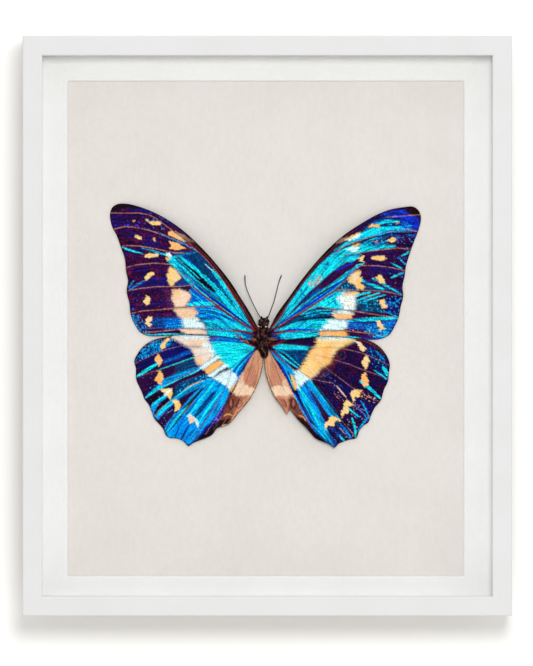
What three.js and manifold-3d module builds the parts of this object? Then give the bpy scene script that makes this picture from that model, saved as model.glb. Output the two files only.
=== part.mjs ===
// Framed butterfly specimen: a white shadow box with a set morpho behind glass.
// Millimetres, +Z up, the front faces -Y. The origin is on the hanger's flat outer face, at the wall.
import * as THREE from "three";
import { mergeVertices } from "three/addons/utils/BufferGeometryUtils.js";
import { ParametricGeometry } from "three/addons/geometries/ParametricGeometry.js";
import Module from "manifold-3d";

// Frame
const FRAME_WIDTH = 200;
const FRAME_HEIGHT = 237;
const FRAME_DEPTH = 26;
const RAIL_FACE = 8;
const RAIL_WALL = 5;
const LIP_DEPTH = 3;
const EDGE_RADIUS = 0.6;
const MITRE_GAP = 0.1;
const HANGER_DROP = 22;

// Layers held in the rebate, from the glass to the back
const LAYER_GAP = 0.3;
const SIDE_GAP = 0.4;
const GLASS_THICKNESS = 2;
const SPACER_DEPTH = 7;
const SPACER_THICKNESS = 2.2;
const MAT_THICKNESS = 1.5;
const PAPER_THICKNESS = 0.5;
const MOUNTING_BOARD_THICKNESS = 4;
const BACK_BOARD_THICKNESS = 3;

// Opening of the mat, a little left of and below the frame's middle
const WINDOW_WIDTH = 164.2;
const WINDOW_HEIGHT = 204.9;
const WINDOW_BEVEL = 1.2;
const WINDOW_X = -0.7;
const WINDOW_Z = -1.2;

// Back fittings
const POINT_LENGTH = 11;
const POINT_WIDTH = 5;
const POINT_THICKNESS = 0.6;
const POINT_BITE = 2.2;
const POINT_SPACING_X = 110;
const POINT_SPACING_Z = 140;
const HANGER_LENGTH = 46;
const HANGER_HEIGHT = 9;
const HANGER_FOOT = 9;
const HANGER_RAMP = 3;
const HANGER_THICKNESS = 0.8;
const TOOTH_COUNT = 11;
const TOOTH_DEPTH = 1.6;
const RIVET_RADIUS = 1;
const RIVET_HEAD_RADIUS = 2.1;
const RIVET_HEAD_HEIGHT = 0.9;
const FITTING_GAP = 0.3;

// Specimen. Outlines are read in pixels of the photograph, from the middle of the thorax.
const WINGSPAN = 128.3;
const WINGSPAN_PIXELS = 311;
const PIXEL = WINGSPAN / WINGSPAN_PIXELS;
const THORAX_PIXEL = [264, 337];
const SPECIMEN_X = -1.4;
const SPECIMEN_Z = -4.6;
const HALF_SPAN = WINGSPAN / 2;
const WING_THICKNESS = 0.35;
const FOREWING_TIP_HEIGHT = 1.35;
const FOREWING_RISE = 4;
const HINDWING_TIP_HEIGHT = 0.6;
const HINDWING_RISE = 3.5;
const WING_DROOP = 1.2;
const FOREWING_STEPS = 76;
const HINDWING_STEPS = 104;
const WING_RINGS = [0, 0.4, 0.75, 1, 1, 0.75, 0.4, 0];
const PIN_RADIUS = 0.25;
const PIN_TOP = 3.4;
const PIN_DEPTH = 3.6;
const PIN_CLEARANCE = 0.3;
const ANTENNA_RADIUS = 0.2;
const CLUB_RADIUS = 0.34;
const LEG_RADIUS = 0.22;

const FOREWING_LEFT = [
  [257.5, 326.5], [250, 312.5], [240, 296.5], [230, 281], [215, 262.3], [200, 246], [185, 232], [170, 221.1],
  [155, 212.7], [140, 206.9], [128, 203.9], [118.3, 203.9], [112.4, 207.4], [110, 214.4], [111.7, 225.4],
  [117, 236.2], [120.9, 246.8], [125, 259.6], [126.3, 272.5], [128, 280.5], [126.7, 291.6], [129.5, 303.4],
  [130.6, 313.9], [135, 324.7], [141.2, 332.8], [150, 336], [170, 335.4], [195, 335.2], [220, 336.5],
  [240, 339.4], [252, 340.3], [256.4, 337], [256.8, 331],
];
const FOREWING_RIGHT = [
  [270.2, 327], [277, 314], [290, 296], [300, 282], [315, 263.4], [330, 247.3], [345, 234.3], [360, 224.3],
  [375, 215.6], [390, 209.6], [403, 207.2], [413.5, 206.7], [419.3, 211.3], [421.2, 219], [418.2, 231.3],
  [413.1, 244.5], [409.5, 255], [406, 267.1], [405, 275.2], [402.7, 286.4], [403.4, 296.4], [401, 306],
  [398.8, 317.1], [395.5, 325], [389.1, 335], [378, 339.4], [360, 338.7], [335, 337], [312, 337.5],
  [290, 339.7], [276, 340.2], [271.8, 337], [271.2, 332],
];
const HINDWING_LEFT = [
  [255.6, 342.3], [244, 334], [222, 328.5], [195, 329.5], [170, 336.3], [155, 339.5], [145, 345],
  [137.6, 353.8], [134.4, 361.3], [135.9, 368.6], [135.9, 375], [136.5, 380.3], [142.5, 393.6], [144.2, 398.5],
  [148.8, 404.8], [152, 412.5], [154.4, 418.6], [160, 425], [163.6, 429.6], [166.2, 435.6], [170.3, 438],
  [176.9, 438.5], [183.5, 441.4], [188.5, 446], [193.3, 443], [204, 438.8], [212.4, 434.6], [217.3, 428.4],
  [228.1, 424.6], [240, 411.3], [250, 399.1], [257.5, 384.8], [261.6, 372.3], [263.2, 362.5],
  [260.4, 358.4], [258, 352.6], [255.6, 347],
];
const HINDWING_RIGHT = [
  [272, 342.3], [284, 334.5], [306, 330], [334, 331.5], [359, 338], [370, 340.9], [380, 346.9], [387, 356],
  [389.9, 364.3], [389, 374], [388.1, 381.2], [384.2, 389.6], [380.8, 400.6], [375, 407.6], [371.3, 415],
  [368.2, 422.6], [363.6, 425.7], [359.2, 431.3], [356.6, 437.8], [349, 439.8], [339.3, 443.4],
  [334.5, 447.6], [329.3, 444.4], [316, 438.6], [309.6, 431.8], [299, 420.5], [291.4, 411], [289.8, 409.6],
  [287.2, 414.2], [281.8, 406.5], [274, 396], [269.3, 385.4], [265.6, 373], [264.2, 362.5],
  [268.6, 358.4], [270.4, 352.6], [271.4, 347],
];
const FOREWING_LEFT_POLE = [175, 283];
const FOREWING_RIGHT_POLE = [354, 285];
const HINDWING_LEFT_POLE = [207, 380];
const HINDWING_RIGHT_POLE = [302, 369];
const ANTENNA_LEFT = [[259.4, 315.8], [255, 307.5], [250, 297], [246.5, 288], [245.3, 282], [245, 275]];
const ANTENNA_RIGHT = [[268.9, 315.6], [271, 310], [274.5, 300], [277, 290], [279, 282], [281.7, 275]];
const ANTENNA_HEIGHTS = [4.6, 4.5, 4.3, 4, 3.8, 3.6];

// Heights of the layers' front faces, counted from the wall
const glassFront = -FRAME_DEPTH + LIP_DEPTH + LAYER_GAP;
const spacerFront = glassFront + GLASS_THICKNESS + LAYER_GAP;
const matFront = spacerFront + SPACER_DEPTH + LAYER_GAP;
const paperFront = matFront + MAT_THICKNESS + LAYER_GAP;
const mountingBoardFront = paperFront + PAPER_THICKNESS + LAYER_GAP;
const backBoardFront = mountingBoardFront + MOUNTING_BOARD_THICKNESS + LAYER_GAP;
const backBoardBack = backBoardFront + BACK_BOARD_THICKNESS;
const frameMiddleZ = HANGER_DROP - FRAME_HEIGHT / 2;
const sheetWidth = FRAME_WIDTH - 2 * (RAIL_WALL + SIDE_GAP);
const sheetHeight = FRAME_HEIGHT - 2 * (RAIL_WALL + SIDE_GAP);
const specimenZ = frameMiddleZ + SPECIMEN_Z;

const wasm = await Module();
wasm.setup();

function solidOf(geometry) {
  const bare = geometry.clone();
  bare.deleteAttribute("normal");
  bare.deleteAttribute("uv");
  const merged = mergeVertices(bare, 1e-4);
  return new wasm.Manifold(new wasm.Mesh({
    numProp: 3,
    vertProperties: new Float32Array(merged.attributes.position.array),
    triVerts: new Uint32Array(merged.index.array),
  }));
}

function geometryOf(solid) {
  const mesh = solid.getMesh();
  const geometry = new THREE.BufferGeometry();
  geometry.setAttribute("position", new THREE.BufferAttribute(mesh.vertProperties, 3));
  geometry.setIndex(new THREE.BufferAttribute(mesh.triVerts, 1));
  geometry.computeVertexNormals();
  return geometry;
}

function cut(geometry, cutters) {
  let solid = solidOf(geometry);
  for (const cutter of cutters) solid = solid.subtract(solidOf(cutter));
  return geometryOf(solid);
}

function fuse(geometries) {
  let solid = solidOf(geometries[0]);
  for (const geometry of geometries.slice(1)) solid = solid.add(solidOf(geometry));
  return geometryOf(solid);
}

function moveVertices(geometry, change) {
  const place = geometry.attributes.position;
  const point = new THREE.Vector3();
  for (let i = 0; i < place.count; i += 1) {
    point.fromBufferAttribute(place, i);
    change(point);
    place.setXYZ(i, point.x, point.y, point.z);
  }
  return geometry;
}

const group = new THREE.Group();
group.name = "framed_butterfly_specimen";

function addPiece(name, geometry, color, roughness, metalness = 0) {
  const material = new THREE.MeshStandardMaterial({ color, roughness, metalness });
  const mesh = new THREE.Mesh(geometry, material);
  mesh.name = name;
  group.add(mesh);
  return mesh;
}

// A box given by its width, depth and height, its middle in plan and its front face
function slab(width, depth, height, x, frontY, z) {
  return new THREE.BoxGeometry(width, depth, height).translate(x, frontY + depth / 2, z);
}

// A round peg along Y
function peg(radius, fromY, toY, x, z, sides = 14) {
  const length = toY - fromY;
  return new THREE.CylinderGeometry(radius, radius, length, sides).translate(x, fromY + length / 2, z);
}

// Rails: one rebated section with eased front edges, sheared to a mitre at both ends
function railProfile() {
  const shape = new THREE.Shape();
  const front = -FRAME_DEPTH;
  shape.moveTo(0, 0);
  shape.lineTo(0, front + EDGE_RADIUS);
  shape.absarc(EDGE_RADIUS, front + EDGE_RADIUS, EDGE_RADIUS, Math.PI, 1.5 * Math.PI, false);
  shape.absarc(RAIL_FACE - EDGE_RADIUS, front + EDGE_RADIUS, EDGE_RADIUS, 1.5 * Math.PI, 2 * Math.PI, false);
  shape.lineTo(RAIL_FACE, front + LIP_DEPTH);
  shape.lineTo(RAIL_WALL, front + LIP_DEPTH);
  shape.lineTo(RAIL_WALL, 0);
  shape.closePath();
  return shape;
}

// The rail lies along X with its outer face at z = reach, and is turned to its side afterwards
function rail(length, reach, pointSpacing, turn) {
  const options = { depth: length, bevelEnabled: false, curveSegments: 4 };
  const bar = new THREE.ExtrudeGeometry(railProfile(), options);
  moveVertices(bar, (point) => {
    const inward = point.x;
    const end = point.z > length / 2 ? 1 : -1;
    point.x = end * (length / 2 - inward - MITRE_GAP / 2);
    point.z = reach - inward;
  });
  const slotWidth = POINT_WIDTH + 2 * FITTING_GAP;
  const slotDepth = POINT_BITE + FITTING_GAP;
  const slotHeight = POINT_THICKNESS + 2 * FITTING_GAP;
  const slotZ = reach - RAIL_WALL + slotDepth / 2 - 0.5;
  const slots = [-1, 1].map((side) => slab(
    slotWidth, slotHeight, slotDepth + 1, side * pointSpacing / 2, backBoardBack, slotZ,
  ));
  return cut(bar, slots).rotateY(turn).translate(0, 0, frameMiddleZ);
}

const railColor = 0xebebec;
const halfTurn = Math.PI;
const quarterTurn = Math.PI / 2;
const halfWidth = FRAME_WIDTH / 2;
const halfHeight = FRAME_HEIGHT / 2;
addPiece("rail_top", rail(FRAME_WIDTH, halfHeight, POINT_SPACING_X, 0), railColor, 0.45);
addPiece("rail_bottom", rail(FRAME_WIDTH, halfHeight, POINT_SPACING_X, halfTurn), railColor, 0.45);
addPiece("rail_left", rail(FRAME_HEIGHT, halfWidth, POINT_SPACING_Z, -quarterTurn), railColor, 0.45);
addPiece("rail_right", rail(FRAME_HEIGHT, halfWidth, POINT_SPACING_Z, quarterTurn), railColor, 0.45);

// Glazing
const pane = addPiece(
  "glazing",
  slab(sheetWidth, GLASS_THICKNESS, sheetHeight, 0, glassFront, frameMiddleZ),
  0xf4f8f8,
  0.03,
);
pane.material.transparent = true;
pane.material.opacity = 0.25;

// Spacers: long strips above and below, shorter ones between them
const spacerColor = 0xf1f1f0;
const spacerReachX = sheetWidth / 2 - SPACER_THICKNESS / 2;
const spacerReachZ = sheetHeight / 2 - SPACER_THICKNESS / 2;
const sideSpacer = sheetHeight - 2 * SPACER_THICKNESS - 2 * LAYER_GAP;
for (const [name, side] of [["spacer_top", 1], ["spacer_bottom", -1]]) {
  const z = frameMiddleZ + side * spacerReachZ;
  addPiece(name, slab(sheetWidth, SPACER_DEPTH, SPACER_THICKNESS, 0, spacerFront, z), spacerColor, 0.7);
}
for (const [name, side] of [["spacer_left", -1], ["spacer_right", 1]]) {
  const x = side * spacerReachX;
  const strip = slab(SPACER_THICKNESS, SPACER_DEPTH, sideSpacer, x, spacerFront, frameMiddleZ);
  addPiece(name, strip, spacerColor, 0.7);
}

// Window mat: the opening flares towards the viewer
const opening = new THREE.BoxGeometry(WINDOW_WIDTH, MAT_THICKNESS, WINDOW_HEIGHT);
moveVertices(opening, (point) => {
  if (point.y > 0) return;
  point.x += Math.sign(point.x) * WINDOW_BEVEL;
  point.z += Math.sign(point.z) * WINDOW_BEVEL;
});
opening.translate(WINDOW_X, matFront + MAT_THICKNESS / 2, frameMiddleZ + WINDOW_Z);
const matBoard = slab(sheetWidth, MAT_THICKNESS, sheetHeight, 0, matFront, frameMiddleZ);
addPiece("window_mat", cut(matBoard, [opening]), 0xeeeded, 0.85);

// Paper, mounting board and back board
const pinHole = PIN_RADIUS + PIN_CLEARANCE;
const paperSheet = slab(sheetWidth, PAPER_THICKNESS, sheetHeight, 0, paperFront, frameMiddleZ);
const paperHole = peg(pinHole, paperFront - 1, paperFront + PAPER_THICKNESS + 1, SPECIMEN_X, specimenZ);
addPiece("specimen_paper", cut(paperSheet, [paperHole]), 0xe7e2dc, 0.9);

const softBoard = slab(
  sheetWidth, MOUNTING_BOARD_THICKNESS, sheetHeight, 0, mountingBoardFront, frameMiddleZ,
);
const boardHole = peg(
  pinHole, mountingBoardFront - 1, paperFront + PIN_DEPTH + PIN_CLEARANCE, SPECIMEN_X, specimenZ,
);
addPiece("mounting_board", cut(softBoard, [boardHole]), 0xf2f0ea, 0.9);

const rivetX = HANGER_LENGTH / 2 - HANGER_FOOT / 2;
const rivetHole = RIVET_RADIUS + FITTING_GAP;
const fibreBoard = slab(sheetWidth, BACK_BOARD_THICKNESS, sheetHeight, 0, backBoardFront, frameMiddleZ);
const rivetHoles = [-1, 1].map((side) => peg(
  rivetHole, backBoardFront - 1, backBoardBack + 1, side * rivetX, 0,
));
addPiece("back_board", cut(fibreBoard, rivetHoles), 0x7d5b3c, 0.8);

// Framing points: each lies on the back board with its tip in a slot of the rail
const pointY = backBoardBack + FITTING_GAP;
const pointReach = POINT_LENGTH / 2 - POINT_BITE;
function framingPoint(across, along, turn, reach) {
  const tab = slab(POINT_WIDTH, POINT_THICKNESS, POINT_LENGTH, 0, pointY, 0);
  moveVertices(tab, (point) => {
    if (point.z > 0) point.x *= 0.45;
  });
  tab.translate(across, 0, reach - RAIL_WALL - pointReach);
  return tab.rotateY(turn).translate(0, 0, along);
}
const pointSides = [
  ["top", POINT_SPACING_X, 0, halfHeight],
  ["bottom", POINT_SPACING_X, halfTurn, halfHeight],
  ["left", POINT_SPACING_Z, -quarterTurn, halfWidth],
  ["right", POINT_SPACING_Z, quarterTurn, halfWidth],
];
for (const [side, spacing, turn, reach] of pointSides) {
  for (const [number, hand] of [["a", -1], ["b", 1]]) {
    const tab = framingPoint(hand * spacing / 2, frameMiddleZ, turn, reach);
    addPiece(`point_${side}_${number}`, tab, 0xa9abad, 0.4, 1);
  }
}

// Hanger: a bent strip on two feet, with a row of teeth under its raised middle
const hangerShape = new THREE.Shape();
const footBack = backBoardBack + FITTING_GAP;
const halfHanger = HANGER_LENGTH / 2;
const bendX = halfHanger - HANGER_FOOT;
const raisedX = bendX - HANGER_RAMP;
hangerShape.moveTo(-halfHanger, footBack);
hangerShape.lineTo(-bendX, footBack);
hangerShape.lineTo(-raisedX, -HANGER_THICKNESS);
hangerShape.lineTo(raisedX, -HANGER_THICKNESS);
hangerShape.lineTo(bendX, footBack);
hangerShape.lineTo(halfHanger, footBack);
hangerShape.lineTo(halfHanger, footBack + HANGER_THICKNESS);
hangerShape.lineTo(bendX, footBack + HANGER_THICKNESS);
hangerShape.lineTo(raisedX, 0);
hangerShape.lineTo(-raisedX, 0);
hangerShape.lineTo(-bendX, footBack + HANGER_THICKNESS);
hangerShape.lineTo(-halfHanger, footBack + HANGER_THICKNESS);
hangerShape.closePath();
const strip = new THREE.ExtrudeGeometry(hangerShape, { depth: HANGER_HEIGHT, bevelEnabled: false });
strip.translate(0, 0, -HANGER_HEIGHT / 2);
const toothPitch = 2 * raisedX / TOOTH_COUNT;
const notches = [];
for (let i = 0; i < TOOTH_COUNT; i += 1) {
  const notch = new THREE.CylinderGeometry(TOOTH_DEPTH, TOOTH_DEPTH, 4 * HANGER_THICKNESS, 4);
  notch.scale(0.42 * toothPitch / TOOTH_DEPTH, 1, 1);
  notch.translate(-raisedX + (i + 0.5) * toothPitch, 0, -HANGER_HEIGHT / 2);
  notches.push(notch);
}
const footHoles = [-1, 1].map((side) => peg(rivetHole, footBack - 1, 1, side * rivetX, 0));
addPiece("hanger", cut(strip, [...notches, ...footHoles]), 0xb7a67c, 0.35, 1);

// Rivets: a shank through foot and board under a domed head
function rivet(x) {
  const seat = footBack + HANGER_THICKNESS + 0.1;
  const tail = backBoardFront + 0.5;
  const profile = [new THREE.Vector2(0, tail), new THREE.Vector2(RIVET_RADIUS, tail)];
  profile.push(new THREE.Vector2(RIVET_RADIUS, seat));
  for (let i = 0; i <= 4; i += 1) {
    const angle = i * Math.PI / 8;
    profile.push(new THREE.Vector2(
      RIVET_HEAD_RADIUS * Math.cos(angle), seat + RIVET_HEAD_HEIGHT * Math.sin(angle),
    ));
  }
  profile[profile.length - 1].x = 0;
  return new THREE.LatheGeometry(profile, 16).translate(x, 0, 0);
}
addPiece("hanger_rivet_left", rivet(-rivetX), 0xb7a67c, 0.35, 1);
addPiece("hanger_rivet_right", rivet(rivetX), 0xb7a67c, 0.35, 1);

// Specimen: x across, z up the body, both from the middle of the thorax; height is above the paper
function planPoint([px, py]) {
  return new THREE.Vector2((px - THORAX_PIXEL[0]) * PIXEL, (THORAX_PIXEL[1] - py) * PIXEL);
}

function seat(geometry) {
  return geometry.translate(SPECIMEN_X, paperFront, specimenZ);
}

// A wing is a thin shell of rings drawn from an inner point to the outline, sloping down to its margin
function wing(outline, pole, tipHeight, rise, steps) {
  const points = outline.map(planPoint);
  if (THREE.ShapeUtils.area(points) > 0) points.reverse();
  const loop = points.map((point) => new THREE.Vector3(point.x, 0, point.y));
  const margin = new THREE.CatmullRomCurve3(loop, true, "centripetal");
  const centre = planPoint(pole);
  const middle = new THREE.Vector3(centre.x, 0, centre.y);
  const edge = Array.from({ length: steps }, (_, i) => margin.getPoint(i / steps));
  const rows = WING_RINGS.length - 1;
  const shell = new ParametricGeometry((u, v, target) => {
    const row = Math.round(v * rows);
    const face = row < WING_RINGS.length / 2 ? 1 : -1;
    target.lerpVectors(middle, edge[Math.round(u * steps) % steps], WING_RINGS[row]);
    const reach = Math.min(1, Math.abs(target.x) / HALF_SPAN);
    const height = tipHeight + rise * (1 - reach) ** WING_DROOP;
    target.y = -height - face * WING_THICKNESS / 2;
  }, steps, rows);
  return seat(shell);
}

const wingColor = 0x1a3fa8;
addPiece(
  "forewing_left",
  wing(FOREWING_LEFT, FOREWING_LEFT_POLE, FOREWING_TIP_HEIGHT, FOREWING_RISE, FOREWING_STEPS),
  wingColor,
  0.5,
);
addPiece(
  "forewing_right",
  wing(FOREWING_RIGHT, FOREWING_RIGHT_POLE, FOREWING_TIP_HEIGHT, FOREWING_RISE, FOREWING_STEPS),
  wingColor,
  0.5,
);
addPiece(
  "hindwing_left",
  wing(HINDWING_LEFT, HINDWING_LEFT_POLE, HINDWING_TIP_HEIGHT, HINDWING_RISE, HINDWING_STEPS),
  wingColor,
  0.5,
);
addPiece(
  "hindwing_right",
  wing(HINDWING_RIGHT, HINDWING_RIGHT_POLE, HINDWING_TIP_HEIGHT, HINDWING_RISE, HINDWING_STEPS),
  wingColor,
  0.5,
);

// Body: head, eyes, palps, thorax, abdomen and two pairs of folded legs, grown together
function ovoid(radiusX, radiusY, radiusZ, x, height, z, across = 18, along = 12) {
  return new THREE.SphereGeometry(1, across, along).scale(radiusX, radiusY, radiusZ).translate(x, -height, z);
}

function tube(points, radius, sides, steps) {
  const section = new THREE.Shape().absarc(0, 0, radius, 0, 2 * Math.PI, false);
  const path = new THREE.CatmullRomCurve3(points);
  return new THREE.ExtrudeGeometry(section, {
    steps, bevelEnabled: false, curveSegments: sides, extrudePath: path,
  });
}

function abdomen() {
  const profile = [[0, 1.5], [1.7, 0.6], [2.35, -1.2], [2.45, -3.4], [2.15, -5.6], [1.75, -7.4], [1.15, -8.7]];
  const points = profile.map(([radius, z]) => new THREE.Vector2(radius, z));
  points.push(new THREE.Vector2(0.5, -9.2), new THREE.Vector2(0, -9.3));
  const turned = new THREE.LatheGeometry(points.reverse(), 18).rotateX(quarterTurn).scale(1, 0.9, 1);
  return turned.translate(0.05, -3.2, 0);
}

function leg(hand, hipZ, kneeZ, footZ) {
  const path = [
    new THREE.Vector3(hand * 0.9, -1.8, hipZ),
    new THREE.Vector3(hand * 2.9, -1.5, (hipZ + kneeZ) / 2),
    new THREE.Vector3(hand * 4.4, -1.3, kneeZ),
    new THREE.Vector3(hand * 4.9, -0.8, (kneeZ + footZ) / 2),
    new THREE.Vector3(hand * 4.6, -0.55, footZ),
  ];
  return tube(path, LEG_RADIUS, 3, 10);
}

const bodyParts = [
  ovoid(2.85, 3.1, 4.3, -0.2, 3.75, 0.4, 22, 16),
  ovoid(2.05, 1.9, 1.8, 0, 4.2, 6.1),
  ovoid(0.95, 0.95, 1, -1.45, 4.5, 6.5, 12, 8),
  ovoid(0.95, 0.95, 1, 1.45, 4.5, 6.5, 12, 8),
  ovoid(0.5, 0.55, 0.75, -1, 4.4, 7.6, 10, 8),
  ovoid(0.5, 0.55, 0.75, 1.25, 4.4, 7.6, 10, 8),
  abdomen(),
  leg(-1, 1.4, 3, -0.5),
  leg(1, 1.4, 3, -0.5),
  leg(-1, -0.8, -2.4, -5.4),
  leg(1, -0.8, -2.4, -5.4),
];
const pinBore = peg(pinHole, -PIN_TOP - PIN_CLEARANCE, 1, 0, 0);
addPiece("butterfly_body", seat(cut(fuse(bodyParts), [pinBore])), 0x1e1412, 0.85);

// Antennae: thin stalks that swell to a slim club
function antenna(pixels) {
  const points = pixels.map((pixel, i) => {
    const plan = planPoint(pixel);
    return new THREE.Vector3(plan.x, -ANTENNA_HEIGHTS[i], plan.y);
  });
  const stalk = tube(points, ANTENNA_RADIUS, 4, 14);
  const path = new THREE.CatmullRomCurve3(points);
  const tip = path.getPoint(1);
  const clubStart = path.getPointAt(0.78);
  const along = new THREE.Vector3().subVectors(tip, clubStart);
  const club = new THREE.SphereGeometry(1, 8, 8).scale(CLUB_RADIUS, along.length() / 2, CLUB_RADIUS);
  club.applyQuaternion(new THREE.Quaternion().setFromUnitVectors(
    new THREE.Vector3(0, 1, 0), along.clone().normalize(),
  ));
  const middle = clubStart.clone().lerp(tip, 0.55);
  club.translate(middle.x, middle.y, middle.z);
  return seat(fuse([stalk, club]));
}
addPiece("antenna_left", antenna(ANTENNA_LEFT), 0x2a1c18, 0.6);
addPiece("antenna_right", antenna(ANTENNA_RIGHT), 0x2a1c18, 0.6);

// Pin: headless, from the thorax through the paper into the mounting board
addPiece(
  "mounting_pin",
  peg(PIN_RADIUS, paperFront - PIN_TOP, paperFront + PIN_DEPTH, SPECIMEN_X, specimenZ, 12),
  0xc8cacc,
  0.3,
  1,
);

export default group;
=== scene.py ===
# Looks of the framed butterfly: paint, glass, paper and a set morpho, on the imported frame
import math
import random

import bmesh
import bpy
import numpy as np
from mathutils import Matrix, Vector, noise


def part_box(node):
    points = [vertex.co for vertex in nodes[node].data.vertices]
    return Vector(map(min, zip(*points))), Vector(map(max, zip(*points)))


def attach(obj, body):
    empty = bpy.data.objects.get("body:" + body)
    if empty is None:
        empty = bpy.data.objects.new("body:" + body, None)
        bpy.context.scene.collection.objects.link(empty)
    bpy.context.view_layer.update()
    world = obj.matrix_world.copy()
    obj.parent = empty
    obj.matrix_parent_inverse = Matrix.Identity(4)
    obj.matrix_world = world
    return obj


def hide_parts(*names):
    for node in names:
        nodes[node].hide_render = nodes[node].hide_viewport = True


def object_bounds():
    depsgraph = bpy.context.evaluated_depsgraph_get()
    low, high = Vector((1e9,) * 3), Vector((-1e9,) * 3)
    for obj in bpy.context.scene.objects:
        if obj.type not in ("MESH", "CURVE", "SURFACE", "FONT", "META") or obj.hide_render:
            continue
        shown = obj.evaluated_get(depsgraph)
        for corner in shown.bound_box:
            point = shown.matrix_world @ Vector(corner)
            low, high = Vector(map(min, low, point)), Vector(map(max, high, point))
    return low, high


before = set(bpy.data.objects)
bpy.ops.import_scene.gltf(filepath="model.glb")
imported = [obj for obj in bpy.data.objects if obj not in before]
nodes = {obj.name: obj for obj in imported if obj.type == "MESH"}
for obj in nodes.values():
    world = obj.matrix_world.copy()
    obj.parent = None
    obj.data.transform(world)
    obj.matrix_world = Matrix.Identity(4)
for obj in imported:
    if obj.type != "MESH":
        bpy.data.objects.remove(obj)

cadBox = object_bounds()
mm = 0.001

# colours as they look in the photograph, 0 to 255
palette = {
    "ink": (14, 5, 20),
    "wine": (96, 22, 56),
    "dusk": (46, 10, 60),
    "plum": (84, 34, 82),
    "night": (10, 16, 92),
    "deep": (4, 56, 128),
    "teal": (4, 64, 108),
    "royal": (10, 52, 214),
    "azure": (0, 112, 236),
    "sky": (0, 166, 252),
    "cyan": (20, 238, 255),
    "ice": (200, 244, 250),
    "white": (216, 245, 249),
    "pink": (239, 210, 186),
    "cream": (245, 207, 132),
    "gold": (246, 184, 74),
    "orange": (246, 180, 104),
    "tan": (190, 124, 98),
    "rust": (122, 24, 12),
    "umber": (84, 36, 30),
    "fawn": (204, 150, 118),
    "buff": (232, 202, 172),
    "rose": (182, 118, 96),
    "bark": (26, 12, 14),
    "maroon": (84, 26, 32),
    "shade": (28, 8, 50),
    "blood": (150, 28, 16),
    "blush": (232, 220, 210),
    "brick": (100, 42, 38),
    "dove": (134, 98, 92),
    "jet": (7, 3, 6),
}


def linear(shade):
    parts = [c / 255 for c in (palette[shade] if isinstance(shade, str) else shade)]
    return tuple(c / 12.92 if c < 0.04045 else ((c + 0.055) / 1.055) ** 2.4 for c in parts)


def smoothStep(low, high, value):
    t = np.clip((value - low) / (high - low), 0, 1)
    return t * t * (3 - 2 * t)


# Shader expressions
class Value:
    def __init__(self, finish, socket):
        self.finish = finish
        self.socket = socket

    def math(self, operation, first, second):
        return self.finish.node("ShaderNodeMath", {"operation": operation}, {0: first, 1: second})

    def __add__(self, other):
        return self.math("ADD", self, other)

    def __radd__(self, other):
        return self.math("ADD", other, self)

    def __sub__(self, other):
        return self.math("SUBTRACT", self, other)

    def __rsub__(self, other):
        return self.math("SUBTRACT", other, self)

    def __mul__(self, other):
        return self.math("MULTIPLY", self, other)

    def __rmul__(self, other):
        return self.math("MULTIPLY", other, self)

    def __pow__(self, other):
        return self.math("POWER", self, other)


class Finish:
    # the nodes of a new material, or of a world that exists
    def __init__(self, name, world=None):
        self.material = bpy.data.materials.new(name) if world is None else world
        self.material.use_nodes = True
        self.tree = self.material.node_tree
        self.tree.nodes.clear()

    def node(self, kind, settings=None, sockets=None, output=0):
        made = self.tree.nodes.new(kind)
        for key, value in (settings or {}).items():
            if key == "stops":
                self.setStops(made.color_ramp, value)
            else:
                setattr(made, key, value)
        for key, value in (sockets or {}).items():
            if isinstance(value, Value):
                self.tree.links.new(value.socket, made.inputs[key])
            else:
                made.inputs[key].default_value = value
        return Value(self, made.outputs[output]) if made.outputs else None

    def setStops(self, ramp, stops):
        while len(ramp.elements) > 1:
            ramp.elements.remove(ramp.elements[-1])
        for i, (place, grey) in enumerate(stops):
            element = ramp.elements[0] if i == 0 else ramp.elements.new(place)
            element.position = place
            element.color = (grey, grey, grey, 1)

    def place(self, stretch=(1, 1, 1)):
        at = self.node("ShaderNodeTexCoord", output="Object")
        return self.node("ShaderNodeMapping", None, {"Vector": at, "Scale": stretch})

    def speckle(self, where, scale, detail=2, rough=0.5):
        sockets = {"Vector": where, "Scale": scale, "Detail": detail, "Roughness": rough}
        return self.node("ShaderNodeTexNoise", None, sockets)

    def ramp(self, value, stops):
        return self.node("ShaderNodeValToRGB", {"stops": stops}, {0: value})

    def mix(self, factor, first, second, blend="MIX"):
        settings = {"data_type": "RGBA", "blend_type": blend}
        return self.node("ShaderNodeMix", settings, {0: factor, 6: first, 7: second}, output=2)

    def bump(self, height, strength, distance):
        sockets = {"Height": height, "Strength": strength, "Distance": distance}
        return self.node("ShaderNodeBump", None, sockets)

    def surface(self, **sockets):
        named = {key.replace("_", " "): value for key, value in sockets.items()}
        shader = self.node("ShaderNodeBsdfPrincipled", None, named)
        self.node("ShaderNodeOutputMaterial", None, {"Surface": shader})
        return self.material


def rgba(shade):
    return (*linear(shade), 1)


def dress(names, material):
    for name in names:
        nodes[name].data.materials.clear()
        nodes[name].data.materials.append(material)


def newPiece(name, bm, materials, replaced=(), smooth=True):
    mesh = bpy.data.meshes.new(name)
    bm.to_mesh(mesh)
    bm.free()
    piece = bpy.data.objects.new(name, mesh)
    bpy.context.scene.collection.objects.link(piece)
    for material in materials:
        mesh.materials.append(material)
    mesh.polygons.foreach_set("use_smooth", [smooth] * len(mesh.polygons))
    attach(piece, "root")
    if replaced:
        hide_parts(*replaced)
    return piece


# Frame finishes
framePaint = {
    "colour": (223, 223, 224),
    "worn": (219, 219, 219),
    "rough": 0.42,
    "brushScale": 900,
    "cloudScale": 60,
    # how far the brush marks are drawn out along a rail
    "drawn": 0.06,
}


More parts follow.
